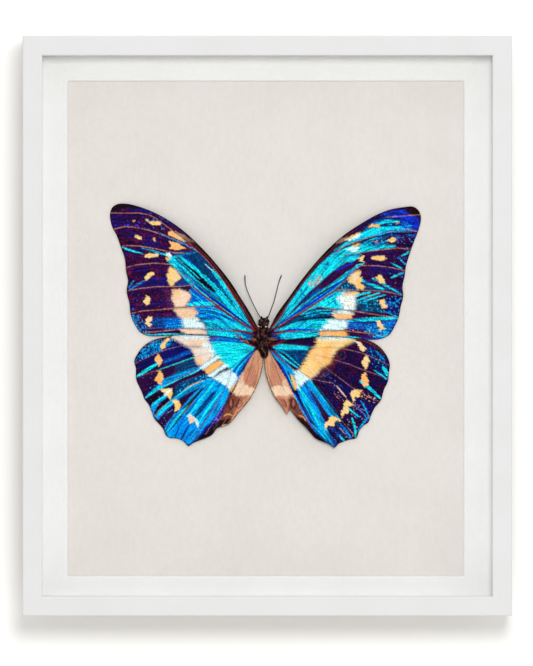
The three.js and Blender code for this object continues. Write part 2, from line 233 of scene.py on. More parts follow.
def railMaterial(name, stretch):
    finish = Finish(name)
    brush = finish.speckle(finish.place(stretch), framePaint["brushScale"], 3, 0.6)
    cloud = finish.speckle(finish.place(), framePaint["cloudScale"], 2)
    worn = finish.ramp(cloud, [(0.35, 0), (0.75, 1)])
    colour = finish.mix(worn * 0.6, rgba(framePaint["colour"]), rgba(framePaint["worn"]))
    return finish.surface(
        Base_Color=colour,
        Roughness=framePaint["rough"] + 0.14 * brush,
        Normal=finish.bump(brush, 0.12, 0.0003),
    )


# the rails as one painted piece: the paint fills the mitres
rails = {
    "names": ["rail_top", "rail_bottom", "rail_left", "rail_right"],
    "seam": 0.1 * mm,
    "mitre": 0.6,
    "face": 8 * mm,
}
bm = bmesh.new()
for name in rails["names"]:
    bm.from_mesh(nodes[name].data)
bm.normal_update()
mitres = [f for f in bm.faces if min(abs(f.normal.x), abs(f.normal.z)) > rails["mitre"]]
bmesh.ops.delete(bm, geom=mitres, context="FACES")
bmesh.ops.remove_doubles(bm, verts=bm.verts, dist=rails["seam"])
for face in bm.faces:
    at = face.calc_center_median()
    face.material_index = int(abs(at.x) > cadBox[1].x - rails["face"])
railPaints = [
    railMaterial("whiteRailAcross", (framePaint["drawn"], 1, 1)),
    railMaterial("whiteRailUpright", (1, 1, framePaint["drawn"])),
]
newPiece("painted_frame", bm, railPaints, rails["names"], smooth=False)

paneGlass = {"tint": (0.99, 0.995, 0.995, 1), "bend": 1.22}


def glassMaterial():
    finish = Finish("clearPane")
    return finish.surface(
        Base_Color=paneGlass["tint"], Roughness=0.0, IOR=paneGlass["bend"], Transmission_Weight=1.0
    )


dress(["glazing"], glassMaterial())
nodes["glazing"].visible_shadow = False
nodes["glazing"].visible_diffuse = False


boards = {
    # colour, mottle, scale of the grain and strength of the relief
    "matBoard": ((239, 239, 238), (236, 236, 235), 2600, 0.25),
    "matCore": ((254, 254, 254), (252, 252, 252), 2600, 0.25),
    "greyPaper": ((227, 222, 217), (223, 218, 212), 1700, 0.3),
    "softBoard": ((236, 234, 226), (228, 226, 217), 900, 0.4),
    "whiteSpacer": ((246, 246, 246), (243, 243, 243), 1500, 0.3),
}


def boardMaterial(name):
    colour, mottle, grainScale, relief = boards[name]
    finish = Finish(name)
    grain = finish.speckle(finish.place(), grainScale, 4, 0.65)
    cloud = finish.speckle(finish.place(), 45, 3)
    fibre = finish.speckle(finish.place((1, 1, 0.6)), grainScale * 0.45, 3)
    shade = finish.mix(finish.ramp(cloud, [(0.3, 0), (0.7, 1)]), rgba(colour), rgba(mottle))
    speck = finish.ramp(grain * 0.6 + fibre * 0.4, [(0.36, 0.93), (0.6, 1)])
    return finish.surface(
        Base_Color=finish.mix(1.0, shade, speck, "MULTIPLY"),
        Roughness=0.86 + 0.1 * grain,
        Normal=finish.bump(grain + fibre, relief, 0.0002),
    )


# mat: a steep cut through a white core
mat = {"smaller": 0.9 * mm, "steeper": 0.65 * mm, "weld": 0.01 * mm, "rim": 1 * mm, "flat": 0.9}
bm = bmesh.new()
bm.from_mesh(nodes["window_mat"].data)
bmesh.ops.remove_doubles(bm, verts=bm.verts, dist=mat["weld"])
bm.normal_update()
matLow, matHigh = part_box("window_mat")


def atOpening(at):
    aside = min(at.x - matLow.x, matHigh.x - at.x)
    return min(aside, at.z - matLow.z, matHigh.z - at.z) > mat["rim"]


for vert in bm.verts:
    if atOpening(vert.co):
        inward = mat["smaller"]
        if vert.co.y < (matLow.y + matHigh.y) / 2:
            inward += mat["steeper"]
        vert.co.x -= math.copysign(inward, vert.co.x)
        vert.co.z -= math.copysign(inward, vert.co.z - (matLow.z + matHigh.z) / 2)
bm.normal_update()
for face in bm.faces:
    cut = abs(face.normal.y) < mat["flat"] and atOpening(face.calc_center_median())
    face.material_index = int(cut)
matPaints = [boardMaterial("matBoard"), boardMaterial("matCore")]
newPiece("cut_mat", bm, matPaints, ["window_mat"], smooth=False)
dress(["specimen_paper"], boardMaterial("greyPaper"))
dress(["mounting_board"], boardMaterial("softBoard"))
dress([name for name in nodes if name.startswith("spacer_")], boardMaterial("whiteSpacer"))

hardBoard = {"colour": (138, 102, 68), "fibre": (98, 68, 42), "weavePitch": 0.0013}


def hardBoardMaterial():
    finish = Finish("hardBoard")
    at = finish.place()
    fibre = finish.speckle(finish.place((0.4, 1, 1)), 700, 5, 0.7)
    cloud = finish.speckle(at, 30, 3)
    pitch = 2 * math.pi / (20 * hardBoard["weavePitch"])
    weave = []
    for way in ("X", "Z"):
        bands = {"wave_type": "BANDS", "wave_profile": "SIN", "bands_direction": way}
        weave.append(finish.node("ShaderNodeTexWave", bands, {"Vector": at, "Scale": pitch}))
    mask = finish.ramp(fibre * 0.7 + cloud * 0.3, [(0.35, 0), (0.65, 1)])
    return finish.surface(
        Base_Color=finish.mix(mask, rgba(hardBoard["fibre"]), rgba(hardBoard["colour"])),
        Roughness=0.62 + 0.25 * fibre,
        Normal=finish.bump(weave[0] * 0.5 + weave[1] * 0.5 + fibre * 0.6, 0.35, 0.0003),
    )


dress(["back_board"], hardBoardMaterial())


def metalMaterial(name, colour, rough, scratch):
    finish = Finish(name)
    streak = finish.speckle(finish.place((1, 1, 12)), 1200, 3)
    cloud = finish.speckle(finish.place(), 240, 3)
    dull = tuple(c * 0.72 for c in colour)
    return finish.surface(
        Base_Color=finish.mix(finish.ramp(cloud, [(0.35, 0), (0.7, 1)]), rgba(colour), rgba(dull)),
        Metallic=1.0,
        Roughness=rough + 0.25 * streak,
        Normal=finish.bump(streak, scratch, 0.0001),
    )


steel = metalMaterial("pointSteel", (188, 190, 193), 0.24, 0.2)
brass = metalMaterial("dullBrass", (196, 170, 112), 0.26, 0.2)
dress([name for name in nodes if name.startswith("point_")], steel)
dress(["mounting_pin"], steel)
dress(["hanger", "hanger_rivet_left", "hanger_rivet_right"], brass)
print("frame finishes done")

# Places on the specimen: pixels of the photograph, from the pin under the thorax
pinLow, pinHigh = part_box("mounting_pin")
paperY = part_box("specimen_paper")[0].y
specimen = {
    "pixel": 127.6 * mm / 311,
    "thorax": (264, 337),
    "halfSpan": 64.15 * mm,
    "droop": 1.2,
    "x": (pinLow.x + pinHigh.x) / 2,
    "z": (pinLow.z + pinHigh.z) / 2,
}


def inPlan(px, py):
    x = specimen["x"] + (px - specimen["thorax"][0]) * specimen["pixel"]
    z = specimen["z"] + (specimen["thorax"][1] - py) * specimen["pixel"]
    return x, z


def atPixel(px, py, height):
    x, z = inPlan(px, py)
    return Vector((x, paperY - height, z))


# Curves and distances in the plan
def curveThrough(points, closed, steps):
    knots = np.array(points, float)
    if closed:
        knots = np.vstack([knots[-1], knots, knots[:2]])
    else:
        knots = np.vstack([2 * knots[0] - knots[1], knots, 2 * knots[-1] - knots[-2]])
    pieces = []
    for a, b, c, d in zip(knots, knots[1:], knots[2:], knots[3:]):
        t0 = 0.0
        t1 = t0 + np.linalg.norm(b - a) ** 0.5
        t2 = t1 + np.linalg.norm(c - b) ** 0.5
        t3 = t2 + np.linalg.norm(d - c) ** 0.5
        t = np.linspace(t1, t2, steps, endpoint=False)[:, None]
        ab = (t1 - t) / (t1 - t0) * a + (t - t0) / (t1 - t0) * b
        bc = (t2 - t) / (t2 - t1) * b + (t - t1) / (t2 - t1) * c
        cd = (t3 - t) / (t3 - t2) * c + (t - t2) / (t3 - t2) * d
        abc = (t2 - t) / (t2 - t0) * ab + (t - t0) / (t2 - t0) * bc
        bcd = (t3 - t) / (t3 - t1) * bc + (t - t1) / (t3 - t1) * cd
        pieces.append((t2 - t) / (t2 - t1) * abc + (t - t1) / (t2 - t1) * bcd)
    if not closed:
        pieces.append(np.array([points[-1]], float))
    return np.vstack(pieces)


def nearPath(plan, path):
    path = np.array(path, float)
    spans = np.linalg.norm(np.diff(path, axis=0), axis=1)
    total = spans.sum()
    best = np.full(len(plan), 1e9)
    side = np.ones(len(plan))
    along = np.zeros(len(plan))
    nearest = np.zeros_like(plan)
    heading = np.zeros_like(plan)
    run = 0.0
    for a, b, span in zip(path, path[1:], spans):
        way = (b - a) / max(span, 1e-9)
        rel = plan - a
        t = np.clip(rel @ way, 0, span)
        foot = a + t[:, None] * way
        gap = np.linalg.norm(plan - foot, axis=1)
        closer = gap < best
        best[closer] = gap[closer]
        side[closer] = np.sign(way[0] * rel[closer, 1] - way[1] * rel[closer, 0])
        along[closer] = (run + t[closer]) / total
        nearest[closer] = foot[closer]
        heading[closer] = way
        run += span
    return {"gap": best, "side": side, "along": along, "nearest": nearest, "heading": heading}


def insideOf(plan, corners):
    corners = np.array(corners, float)
    loop = np.vstack([corners, corners[:1]])
    inside = np.zeros(len(plan), bool)
    for (ax, ay), (bx, by) in zip(loop, loop[1:]):
        if ay == by:
            continue
        crosses = (plan[:, 1] > min(ay, by)) & (plan[:, 1] <= max(ay, by))
        inside ^= crosses & (plan[:, 0] < ax + (plan[:, 1] - ay) * (bx - ax) / (by - ay))
    gap = nearPath(plan, loop)["gap"]
    return np.where(inside, gap, -gap)


def closeTo(plan, shape, margin):
    shape = np.array(shape, float)
    return np.flatnonzero(((plan > shape.min(0) - margin) & (plan < shape.max(0) + margin)).all(1))


def waves(first, second, seed):
    return np.array([noise.noise((a, b, seed)) for a, b in zip(first.tolist(), second.tolist())])


wingSheet = {
    "step": 0.2,
    "thickness": 0.12 * mm,
    "marginSteps": 9,
    "pleat": 0.018 * mm,
    "pleatMost": 0.1 * mm,
    "veinRise": 0.07 * mm,
    "sparkle": [0.34, 0.4, 0.3, 0.14],
    "streak": (0.85, 0.07, 1),
    "scaleGrain": 2300,
    "cellStep": 40,
    # lines along the leading edge: distance from it, half width and shade
    "costaLines": [(2.1, 0.5, "brick"), (4.3, 0.45, "blood")],
    # where the lift of the leading edge starts and ends on the way out, and that of the inner margin
    "frontStarts": (0.02, 0.25),
    "frontEnds": (1.05, 0.5),
    "insideStarts": (0, 40),
    "insidePower": 6,
}

# Wings, in pixels of the photograph
# guides: the leading edge, the veins in order and the hind margin, each from the root outwards
# hidden: how far from the root a vein begins to show
# areas, bands, inner: shade, strength, softness of the edge and corners
# flecks: shade, the noise above which it shows, and corners
# strokes, details: shade, strength, width and path
# marks: shade, strength and corners
# cords: width and path of a red vein with dark sides
# the blue, cyan and purple-black shades below are partly the scales' own colour and partly painted sheen:
# which cells shine bright and which stay dark follows one angle of light, so the left and right wings differ
leftForewing = {
    "name": "forewing_left",
    "wine": 0.4,
    "fray": 1.2,
    "lines": 0.62,
    "tip": 0.3 * mm,
    "rise": 2.7 * mm,
    "leading": 1.9 * mm,
    "inside": 0,
    "root": (255, 331),
    "veins": "rust",
    "ground": "dusk",
    "costa": 1,
    "hidden": {2: 97, 3: 101, 4: 75},
}
leftForewing["outline"] = [
    (257.5, 326.5), (250, 312.5), (240, 296.5), (230, 281), (215, 262.3), (200, 246), (185, 232),
    (170, 221.1), (155, 212.7), (140, 206.9), (128, 203.9), (118.3, 203.9), (112.4, 207.4), (110, 214.4),
    (111.7, 225.4), (117, 236.2), (120.9, 246.8), (125, 259.6), (126.3, 272.5), (128, 280.5),
    (126.7, 291.6), (129.5, 303.4), (130.6, 313.9), (135, 324.7), (141.2, 332.8), (150, 336), (170, 335.4),
    (195, 335.2), (220, 336.5), (240, 339.4), (252, 340.3), (259, 338.5), (260.5, 332),
]
leftForewing["guides"] = [
    [(257, 326), (240, 296.5), (215, 262.3), (185, 232), (155, 212.7), (128, 203.9), (111, 207)],
    [(253, 328), (246, 314.5), (235, 299), (225, 283), (214, 268), (205, 257.5), (190, 244), (176, 233),
     (165, 225), (155, 217.5), (148, 214.5), (139, 213), (125, 213), (110, 212.7)],
    [(253, 329), (232, 300), (214, 275), (198, 252), (185, 243.5), (165, 235.3), (148, 230), (133, 227),
     (125, 226.5), (113, 229.3)],
    [(254, 329.5), (228, 302), (206, 274), (190, 253.5), (173, 252.5), (155, 248.7), (140, 246),
     (126, 245.5), (120, 246.5)],
    [(254, 331), (230, 311), (210, 294), (194, 283), (185, 276), (172, 264.5), (155, 263), (137, 264.6),
     (125, 267.8)],
    [(255, 331.5), (230, 315.2), (210, 300), (195, 289), (193, 285), (180, 286.5), (155, 286.7),
     (140, 288.5), (126.5, 291)],
    [(255, 332), (240, 322), (230, 315.4), (219, 308.5), (210, 306.3), (190, 306.8), (168, 309), (142, 311),
     (130, 313.9)],
    [(254, 335), (240, 331), (220, 329.6), (200, 328.8), (183, 328.5), (165, 331), (141, 333)],
    [(254, 340), (240, 339.5), (220, 336.5), (190, 335.1), (160, 335.8), (145, 335.5)],
]
leftForewing["areas"] = [
    ("bark", 0.9, 1.5, [(108, 213), (112, 204), (120, 202), (142, 206), (138, 209), (125, 208),
     (117, 211.5)]),
    ("night", 0.8, 2, [(126, 209), (142, 208), (156, 215), (186, 234), (198, 247), (190, 243), (172, 229),
     (154, 217), (138, 212)]),
    ("night", 0.7, 3, [(112, 216), (122, 214), (125, 224), (113, 229)]),
    ("night", 0.8, 3, [(146, 238), (158, 238), (158, 247), (146, 246)]),
    ("night", 0.75, 3, [(146, 278), (169, 277), (170, 287), (138, 288)]),
    ("deep", 0.85, 1.5, [(172, 287), (178, 281), (184, 278), (193, 284), (186, 286)]),
    ("plum", 0.6, 2, [(163, 289), (174, 289), (172, 298), (176, 307), (167, 309)]),
    ("deep", 0.9, 2, [(150, 318), (180, 317), (186, 328), (150, 328)]),
    ("azure", 0.8, 3, [(164, 320), (182, 319), (186, 328), (166, 328)]),
    ("teal", 0.98, 1.5, [(180, 252), (199, 251), (206, 258), (214, 268), (226, 284), (238, 302), (252, 326),
     (240, 314), (228, 301), (214, 287), (200, 274), (184, 259)]),
    ("deep", 0.9, 2, [(213, 283), (222, 282), (231, 294), (228, 302), (218, 298)]),
    ("cyan", 1, 1.2, [(170, 259), (176, 257), (186, 264), (200, 276), (214, 289), (228, 302), (240, 314),
     (254, 330), (240, 321.5), (222, 309), (206, 297), (192, 285.5), (182, 275), (172, 265)]),
    ("azure", 0.95, 1.2, [(192, 286), (206, 297), (220, 308), (214, 305.5), (200, 305.5), (188, 306.5),
     (191, 297)]),
    ("azure", 0.95, 1.2, [(195, 307), (214, 306.5), (226, 313), (240, 322), (240, 324), (220, 319),
     (202, 320), (197, 314)]),
    ("cyan", 1, 1.4, [(203, 319), (222, 319), (238, 323), (254, 332), (240, 330.5), (220, 329),
     (206, 328.5)]),
    ("deep", 0.6, 2, [(199, 317), (206, 317), (208, 324), (203, 325)]),
    ("cyan", 1, 1.2, [(206, 330.5), (222, 331), (240, 332.5), (252, 336), (250, 341), (225, 338),
     (208, 336)]),
    ("deep", 0.9, 1.5, [(241, 333), (254, 335), (254, 340), (246, 339)]),
]
leftForewing["flecks"] = [
    ("royal", 0.34, [(112, 215), (140, 214), (150, 218), (150, 228), (125, 226), (113, 229)]),
    ("sky", 0.26, [(142, 221), (150, 217), (168, 229), (172, 238), (148, 230)]),
    ("sky", 0.3, [(148, 213), (160, 217), (185, 235), (196, 246), (186, 241), (160, 221)]),
    ("azure", 0.5, [(131, 291), (172, 290), (172, 308), (132, 312)]),
    ("sky", 0.24, [(150, 318), (184, 319), (187, 329), (150, 328)]),
    ("cyan", 0.22, [(166, 319), (184, 319), (187, 329), (168, 328)]),
    ("sky", 0.08, [(130, 312), (137, 314), (146, 325), (148, 334), (140, 334), (133, 324)]),
    ("cyan", 0.22, [(196, 256), (206, 260), (215, 272), (212, 278), (200, 268)]),
    ("night", 0.05, [(182, 252), (198, 252), (206, 259), (226, 286), (232, 300), (220, 292), (200, 272)]),
    ("cyan", 0.2, [(214, 284), (228, 286), (236, 300), (228, 303)]),
    ("deep", 0.1, [(192, 288), (204, 297), (202, 302), (190, 302)]),
    ("deep", 0.1, [(198, 309), (222, 312), (230, 319), (202, 318)]),
]
leftForewing["strokes"] = [
    ("cyan", 1, 4, [(180, 256), (192, 266), (204, 277), (216, 288), (228, 301)]),
    ("royal", 0.9, 1.1, [(181, 255), (190, 262), (198, 269)]),
    ("cyan", 1, 5, [(213, 271), (223, 284), (234, 300), (243, 314), (252, 327)]),
    ("cyan", 0.95, 5, [(226, 299), (238, 311), (250, 326)]),
    ("ink", 1, 2.6, [(175, 258), (186, 267), (198, 277.5)]),
    ("ink", 1, 5, [(184, 264), (196, 275), (206, 284.5), (214, 291)]),
    ("cyan", 0.9, 0.9, [(178, 260), (190, 270), (200, 279)]),
    ("ink", 0.95, 1.4, [(175, 263), (188, 275), (200, 285), (214, 296), (227, 306)]),
    ("royal", 0.95, 1.4, [(180, 270), (190, 279), (204, 290)]),
    ("ink", 0.9, 1.1, [(196, 284), (212, 296), (228, 309), (238, 317)]),
    ("royal", 1, 2.4, [(196, 285.5), (208, 295), (222, 305.5), (238, 317.5), (252, 328)]),
    ("ink", 0.7, 0.9, [(220, 292), (232, 305), (246, 322)]),
    ("ink", 0.7, 0.9, [(228, 294), (238, 308), (249, 324)]),
    ("cyan", 1, 4, [(188, 304.5), (200, 303.5), (216, 304)]),
    ("cyan", 0.95, 1.4, [(201, 309), (216, 311), (232, 318)]),
    ("cyan", 0.95, 1.2, [(206, 313), (220, 317), (236, 323)]),
    ("deep", 0.9, 0.9, [(203, 310.5), (218, 313.5), (234, 320.5)]),
    ("royal", 0.85, 1.3, [(218, 328.6), (232, 329), (246, 332)]),
    ("cyan", 1, 1.6, [(121.5, 247), (131, 250.5), (143, 254)]),
    ("cyan", 1, 1.9, [(142, 248.3), (156, 252), (174, 257.5)]),
    ("sky", 0.95, 1.5, [(129.5, 290), (136, 285.5), (146, 280)]),
    ("sky", 0.9, 1.2, [(128.5, 288), (134, 281)]),
    ("sky", 0.9, 1.8, [(132, 316), (136, 324), (141, 331)]),
    ("cyan", 0.95, 1.5, [(140, 332.5), (150, 334.8), (165, 334.2), (182, 334.7), (208, 335.6)]),
    ("sky", 0.9, 1.3, [(160, 234), (176, 240.5), (190, 247), (198, 251.5)]),
    ("cyan", 0.85, 1.1, [(176, 238), (186, 242)]),
    ("sky", 0.85, 1.4, [(172, 253.5), (185, 254.5), (197, 252)]),
    ("cyan", 0.8, 2, [(168, 261), (174, 257), (182, 255)]),
    ("ice", 0.8, 1, [(205, 264), (213, 271)]),
]
leftForewing["bands"] = [
    ("pink", 0.95, 1.6, [(174, 308.5), (194, 307.5), (197, 313), (196, 319), (186, 320), (178, 316)]),
    ("orange", 0.75, 1, [(176, 311), (188, 312.5), (195, 313), (193, 316), (182, 314)]),
    ("white", 0.97, 1.8, [(182, 319), (197, 318), (201, 322), (205, 328.5), (184, 328.5)]),
    ("pink", 0.95, 1, [(179, 329), (200, 329.4), (206, 331), (206.5, 334.3), (190, 334.3), (182, 332)]),
    ("pink", 1, 1.2, [(173.5, 290), (180, 289.3), (187, 291), (190.5, 295), (190, 299), (187, 304),
     (184, 307), (176, 307.5), (172, 298)]),
    ("orange", 0.45, 1.5, [(173, 290), (180, 289.5), (180, 296), (176, 303), (172, 298)]),
    ("cream", 1, 0.8, [(170, 266), (176, 270), (181.5, 277.5), (178, 280.5), (171, 286.3), (166.5, 280.5),
     (167.5, 275)]),
    ("orange", 0.35, 1, [(171, 280), (179, 278), (171, 286)]),
]
leftForewing["marks"] = [
    ("cream", 1, [(149, 223), (152, 220.5), (158, 221), (162, 223.5), (158, 224.8), (153, 225.2)]),
    ("pink", 0.7, [(145, 219), (147.5, 218.5), (150, 221.5), (148, 222)]),
    ("gold", 0.75, [(132.5, 219.8), (135.5, 219.8), (135, 221.5), (133, 221.5)]),
    ("cream", 1, [(134, 235.5), (137, 234.5), (140.5, 237), (141, 239.5), (138, 239.2), (134.5, 237)]),
    ("gold", 0.95, [(152.9, 238.2), (155.2, 238.2), (155.2, 241), (152.9, 241)]),
    ("orange", 1, [(169, 231), (172, 230.5), (186, 241), (180, 240), (168, 235)]),
    ("pink", 0.95, [(175, 231), (186, 236.5), (196, 242.5), (191, 243), (181, 237)]),
    ("orange", 1, [(169, 241), (178, 243), (186, 248.5), (177, 250.2), (169, 248.5), (172, 245)]),
    ("cream", 1, [(144.5, 255), (149, 253), (158.5, 254), (158, 256.5), (150, 257.8), (145, 257)]),
    ("white", 0.95, [(165.5, 252.5), (169, 252.5), (172, 256), (170, 258), (166.5, 256)]),
    ("gold", 0.95, [(166, 257.2), (171.5, 258), (168.5, 260.3), (165.5, 259.5)]),
    ("cream", 1, [(144.2, 278.3), (148, 273.5), (152, 271.6), (155.3, 274), (150, 277), (146, 280.8)]),
    ("cream", 1, [(147, 295.3), (150.7, 298.5), (150.2, 303), (146, 305.2), (143.3, 301.5), (145, 299)]),
    ("cream", 1, [(148, 316.8), (152, 317), (152.7, 320), (149.5, 322), (152.3, 324.5), (149, 327.2),
     (146.3, 324), (146, 320)]),
]
leftForewing["inner"] = [
    ("bark", 0.85, 1.6, [(253, 328), (260, 326), (261, 339), (254.5, 338), (252.5, 334)]),
    ("ink", 0.8, 1.2, [(250.5, 337.5), (255, 336.5), (255, 339.5), (251, 339.3)]),
]
leftForewing["cords"] = [
    (1.1, [(236.5, 335), (240, 337.3), (246, 341)]),
    (1.0, [(232, 329.6), (245, 331.7), (254, 334.6)]),
    (0.7, [(254.5, 330), (250, 323), (245, 314.5)]),
    (1.1, [(193, 285.5), (197, 290), (210, 300), (230, 315.2), (244, 324), (255, 331)]),
    (0.7, [(214, 306), (226, 312.5), (240, 321.5)]),
]
leftForewing["details"] = [
    ("ink", 0.85, 1, [(252, 326), (246, 316.5), (238, 304)]),
    ("umber", 0.7, 1, [(215, 336.6), (230, 337.8), (250, 340)]),
    ("ink", 0.9, 1.2, [(196, 286), (212, 298.5), (230, 312), (250, 327)]),
]

rightForewing = {
    "name": "forewing_right",
    "wine": 0.15,
    "fray": 2.2,
    "lines": 0.5,
    "tip": 0.3 * mm,
    "rise": 2.7 * mm,
    "leading": 1.9 * mm,
    "inside": 0,
    "root": (272, 331),
    "veins": "rust",
    "ground": "dusk",
    "costa": 1,
    "hidden": {1: 158, 2: 95, 3: 95, 4: 85},
}
rightForewing["outline"] = [
    (270.2, 327), (277, 314), (290, 296), (300, 282), (315, 263.4), (330, 247.3), (345, 234.3),
    (360, 224.3), (375, 215.6), (390, 209.6), (403, 207.2), (413.5, 206.7), (419.3, 211.3), (421.2, 219),
    (418.2, 231.3), (413.1, 244.5), (409.5, 255), (406, 267.1), (405, 275.2), (402.7, 286.4),
    (403.4, 296.4), (401, 306), (398.8, 317.1), (395.5, 325), (389.1, 335), (378, 339.4), (360, 338.7),
    (335, 337), (312, 337.5), (290, 339.7), (276, 340.2), (268.5, 338.5), (267, 332),
]
rightForewing["guides"] = [
    [(270.5, 326), (290, 296), (315, 263.4), (345, 234.3), (375, 215.6), (403, 207.2), (420, 211)],
    [(272, 328), (280, 317), (290, 302), (300, 287.5), (310, 275), (320, 263.5), (330, 253.5), (345, 239.7),
     (360, 230), (368, 224.5), (375, 220), (383, 217.5), (405, 215.7), (421, 214.5)],
    [(273, 328.5), (295, 300), (318, 272), (335, 253), (345, 246), (355, 242.5), (365, 238.7), (385, 232.5),
     (400, 229.7), (408, 229.5), (418.5, 231.5)],
    [(273, 329), (300, 302), (325, 275), (345, 255), (365, 252), (375, 250.5), (392, 248.7), (398, 248),
     (412, 249.3)],
    [(273, 330), (300, 311), (320, 297), (335, 288.5), (345, 280), (350, 274), (361, 265.5), (377, 265.7),
     (392, 267.5), (406, 271)],
    [(273, 330.5), (300, 313.5), (320, 300), (335.5, 290), (345, 289.7), (365, 290.4), (380, 291),
     (390, 292.5), (404, 295.8)],
    [(273, 331), (280, 326), (300, 314), (310, 308), (320, 307), (340, 309.8), (360, 312), (376, 314.7),
     (399.5, 318)],
    [(271, 334), (280, 332.3), (290, 331.3), (320, 330.8), (340, 330.3), (365, 333), (389, 336)],
    [(274, 340), (290, 339.7), (312, 337.5), (340, 337), (370, 339.4), (384, 338.6)],
]
rightForewing["areas"] = [
    ("bark", 0.95, 1.5, [(400, 206), (414, 205), (422, 211), (422, 217), (417, 216), (411, 214.5),
     (407, 209.5)]),
    ("night", 0.9, 1, [(336, 244), (347, 235), (362, 225.5), (376, 217.5), (392, 211.5), (386, 216),
     (374, 219.5), (358, 230), (344, 239)]),
    ("royal", 0.97, 1.8, [(382, 214.5), (395, 210.5), (405, 210), (411, 214.5), (418, 218), (420, 224),
     (418, 230), (409, 226), (402, 221), (392, 217.5)]),
    ("azure", 0.8, 2, [(397, 221), (408, 223), (415, 231), (400, 229)]),
    ("deep", 0.85, 1.6, [(362, 229), (372, 222), (385, 217), (400, 219), (404, 226), (385, 227),
     (370, 230)]),
    ("cyan", 1, 1.2, [(334, 251), (345, 243), (352, 240), (361, 233), (370, 229), (385, 226.5),
     (400, 226.5), (406, 229), (392, 230.5), (375, 235), (360, 240), (345, 246)]),
    ("deep", 0.9, 1.4, [(352, 245), (364, 240), (380, 235), (400, 232), (402, 240), (390, 245), (372, 247),
     (358, 247)]),
    ("cyan", 1, 1.3, [(335, 253), (345, 248), (352, 246), (362, 246), (375, 246), (390, 243.5), (394, 247),
     (375, 250), (352, 254)]),
    ("dusk", 0.9, 1.6, [(378, 241), (388, 237), (402, 234), (416, 234), (408, 240), (399, 247),
     (386, 244)]),
    ("cyan", 1, 1.2, [(272, 329), (280, 317), (290, 303), (300, 289), (310, 276), (320, 264.5), (333, 253),
     (350, 253), (360, 253), (357, 258), (345, 263), (330, 273), (318, 284), (308, 293), (300, 301),
     (288, 315)]),
    ("dusk", 1, 1, [(302, 302), (312, 292), (320, 284), (332, 275), (342, 268), (352, 262.5), (357, 262),
     (358, 265), (350, 271), (338, 279), (326, 287), (314, 295), (305, 302)]),
    ("deep", 0.85, 1.5, [(301, 303), (310, 294), (320, 286), (322, 290), (310, 299)]),
    ("cyan", 1, 1, [(278, 327), (300, 306), (316, 294), (330, 285), (345, 274), (358, 265), (350, 276),
     (338, 288), (320, 300), (300, 313)]),
    ("teal", 0.95, 1.2, [(337, 290), (346, 281), (352, 284), (364, 290)]),
    ("cyan", 1, 1.2, [(296, 316), (318, 301.5), (334, 292), (346, 291), (338, 298), (341, 306), (346, 310),
     (318, 306.5)]),
    ("teal", 0.97, 1.2, [(284, 325), (300, 315), (310, 309), (332, 309), (337, 314), (331, 319),
     (300, 322)]),
    ("ink", 0.9, 1, [(286, 325.5), (300, 319.5), (318, 316.8), (334, 315.5), (333, 318.7), (318, 319),
     (302, 322)]),
    ("cyan", 1, 1.2, [(274, 331), (296, 322.5), (314, 319.5), (332, 319), (328, 326), (322, 330),
     (290, 330)]),
    ("cyan", 1, 1.2, [(276, 334), (290, 332), (318, 331.7), (319, 335), (310, 338), (285, 341)]),
    ("deep", 0.95, 1.5, [(271, 333.5), (281, 334), (284, 340), (276, 342), (270, 338)]),
    ("teal", 0.92, 2, [(356, 300), (376, 300), (384, 313), (358, 311)]),
    ("teal", 0.8, 2, [(364, 284), (384, 287), (394, 292), (366, 290.5)]),
    ("dusk", 0.9, 1.5, [(352, 312.5), (375, 315), (395, 317), (375, 318), (352, 318.5)]),
    ("azure", 0.8, 2, [(346, 322), (380, 322), (396, 320), (390, 333), (378, 338), (364, 330), (348, 328)]),
    ("dusk", 0.85, 1.6, [(346, 330), (366, 329), (374, 336), (348, 336)]),
    ("night", 0.8, 2, [(384, 297), (402, 297), (398, 316), (386, 312)]),
    ("night", 0.6, 3, [(372, 262), (400, 264), (404, 272), (386, 276), (366, 270)]),
]
rightForewing["flecks"] = [
    ("azure", 0.1, [(383, 214), (396, 211), (408, 212), (414, 222), (400, 220)]),
    ("cyan", 0.2, [(362, 229), (372, 223), (400, 219), (402, 226), (372, 230)]),
    ("cyan", 0.18, [(356, 246), (366, 240), (392, 234), (396, 240), (374, 246)]),
    ("azure", 0.12, [(398, 237), (417, 232), (411, 248), (402, 247)]),
    ("sky", 0.25, [(394, 238), (415, 234), (410, 249), (396, 247)]),
    ("sky", 0.4, [(394, 250), (411, 250), (405, 270), (396, 266)]),
    ("sky", 0.4, [(390, 272), (405, 272), (403, 294), (394, 290)]),
    ("night", -0.15, [(325, 263), (328, 260.5), (330.5, 262), (329.5, 266), (326.5, 268), (324.5, 266)]),
    ("deep", 0.05, [(298, 300), (306, 288), (313, 283), (312, 291), (304, 301)]),
    ("night", 0.1, [(384, 213), (396, 210), (412, 213), (419, 222), (417, 230), (404, 222)]),
    ("teal", 0.22, [(316, 266), (330, 268), (316, 282), (304, 292), (300, 290)]),
    ("orange", 0.06, [(312, 275), (320, 272), (323, 277), (319, 284), (311, 288), (308, 284)]),
    ("rose", 0.0, [(311, 276), (319, 273), (322, 278), (318, 284), (310, 288), (309, 282)]),
    ("cyan", 0.15, [(338, 289.5), (347, 282), (362, 290)]),
    ("teal", 0.12, [(322, 296), (337, 293), (338, 305), (326, 304)]),
    ("cyan", 0.25, [(298, 318), (311, 309.5), (332, 309.5), (336, 315), (312, 316)]),
    ("night", 0.1, [(356, 300), (376, 300), (384, 313), (358, 311)]),
    ("cyan", 0.16, [(357, 300), (380, 300), (384, 312), (358, 310)]),
    ("sky", 0.2, [(386, 297), (403, 297), (399, 317), (388, 312)]),
    ("night", 0.08, [(346, 322), (380, 322), (390, 326), (372, 332), (348, 329)]),
    ("cyan", 0.12, [(366, 325), (392, 323), (388, 334), (376, 339), (366, 332)]),
    ("orange", 0.42, [(344, 322), (370, 324), (376, 336), (350, 336)]),
]
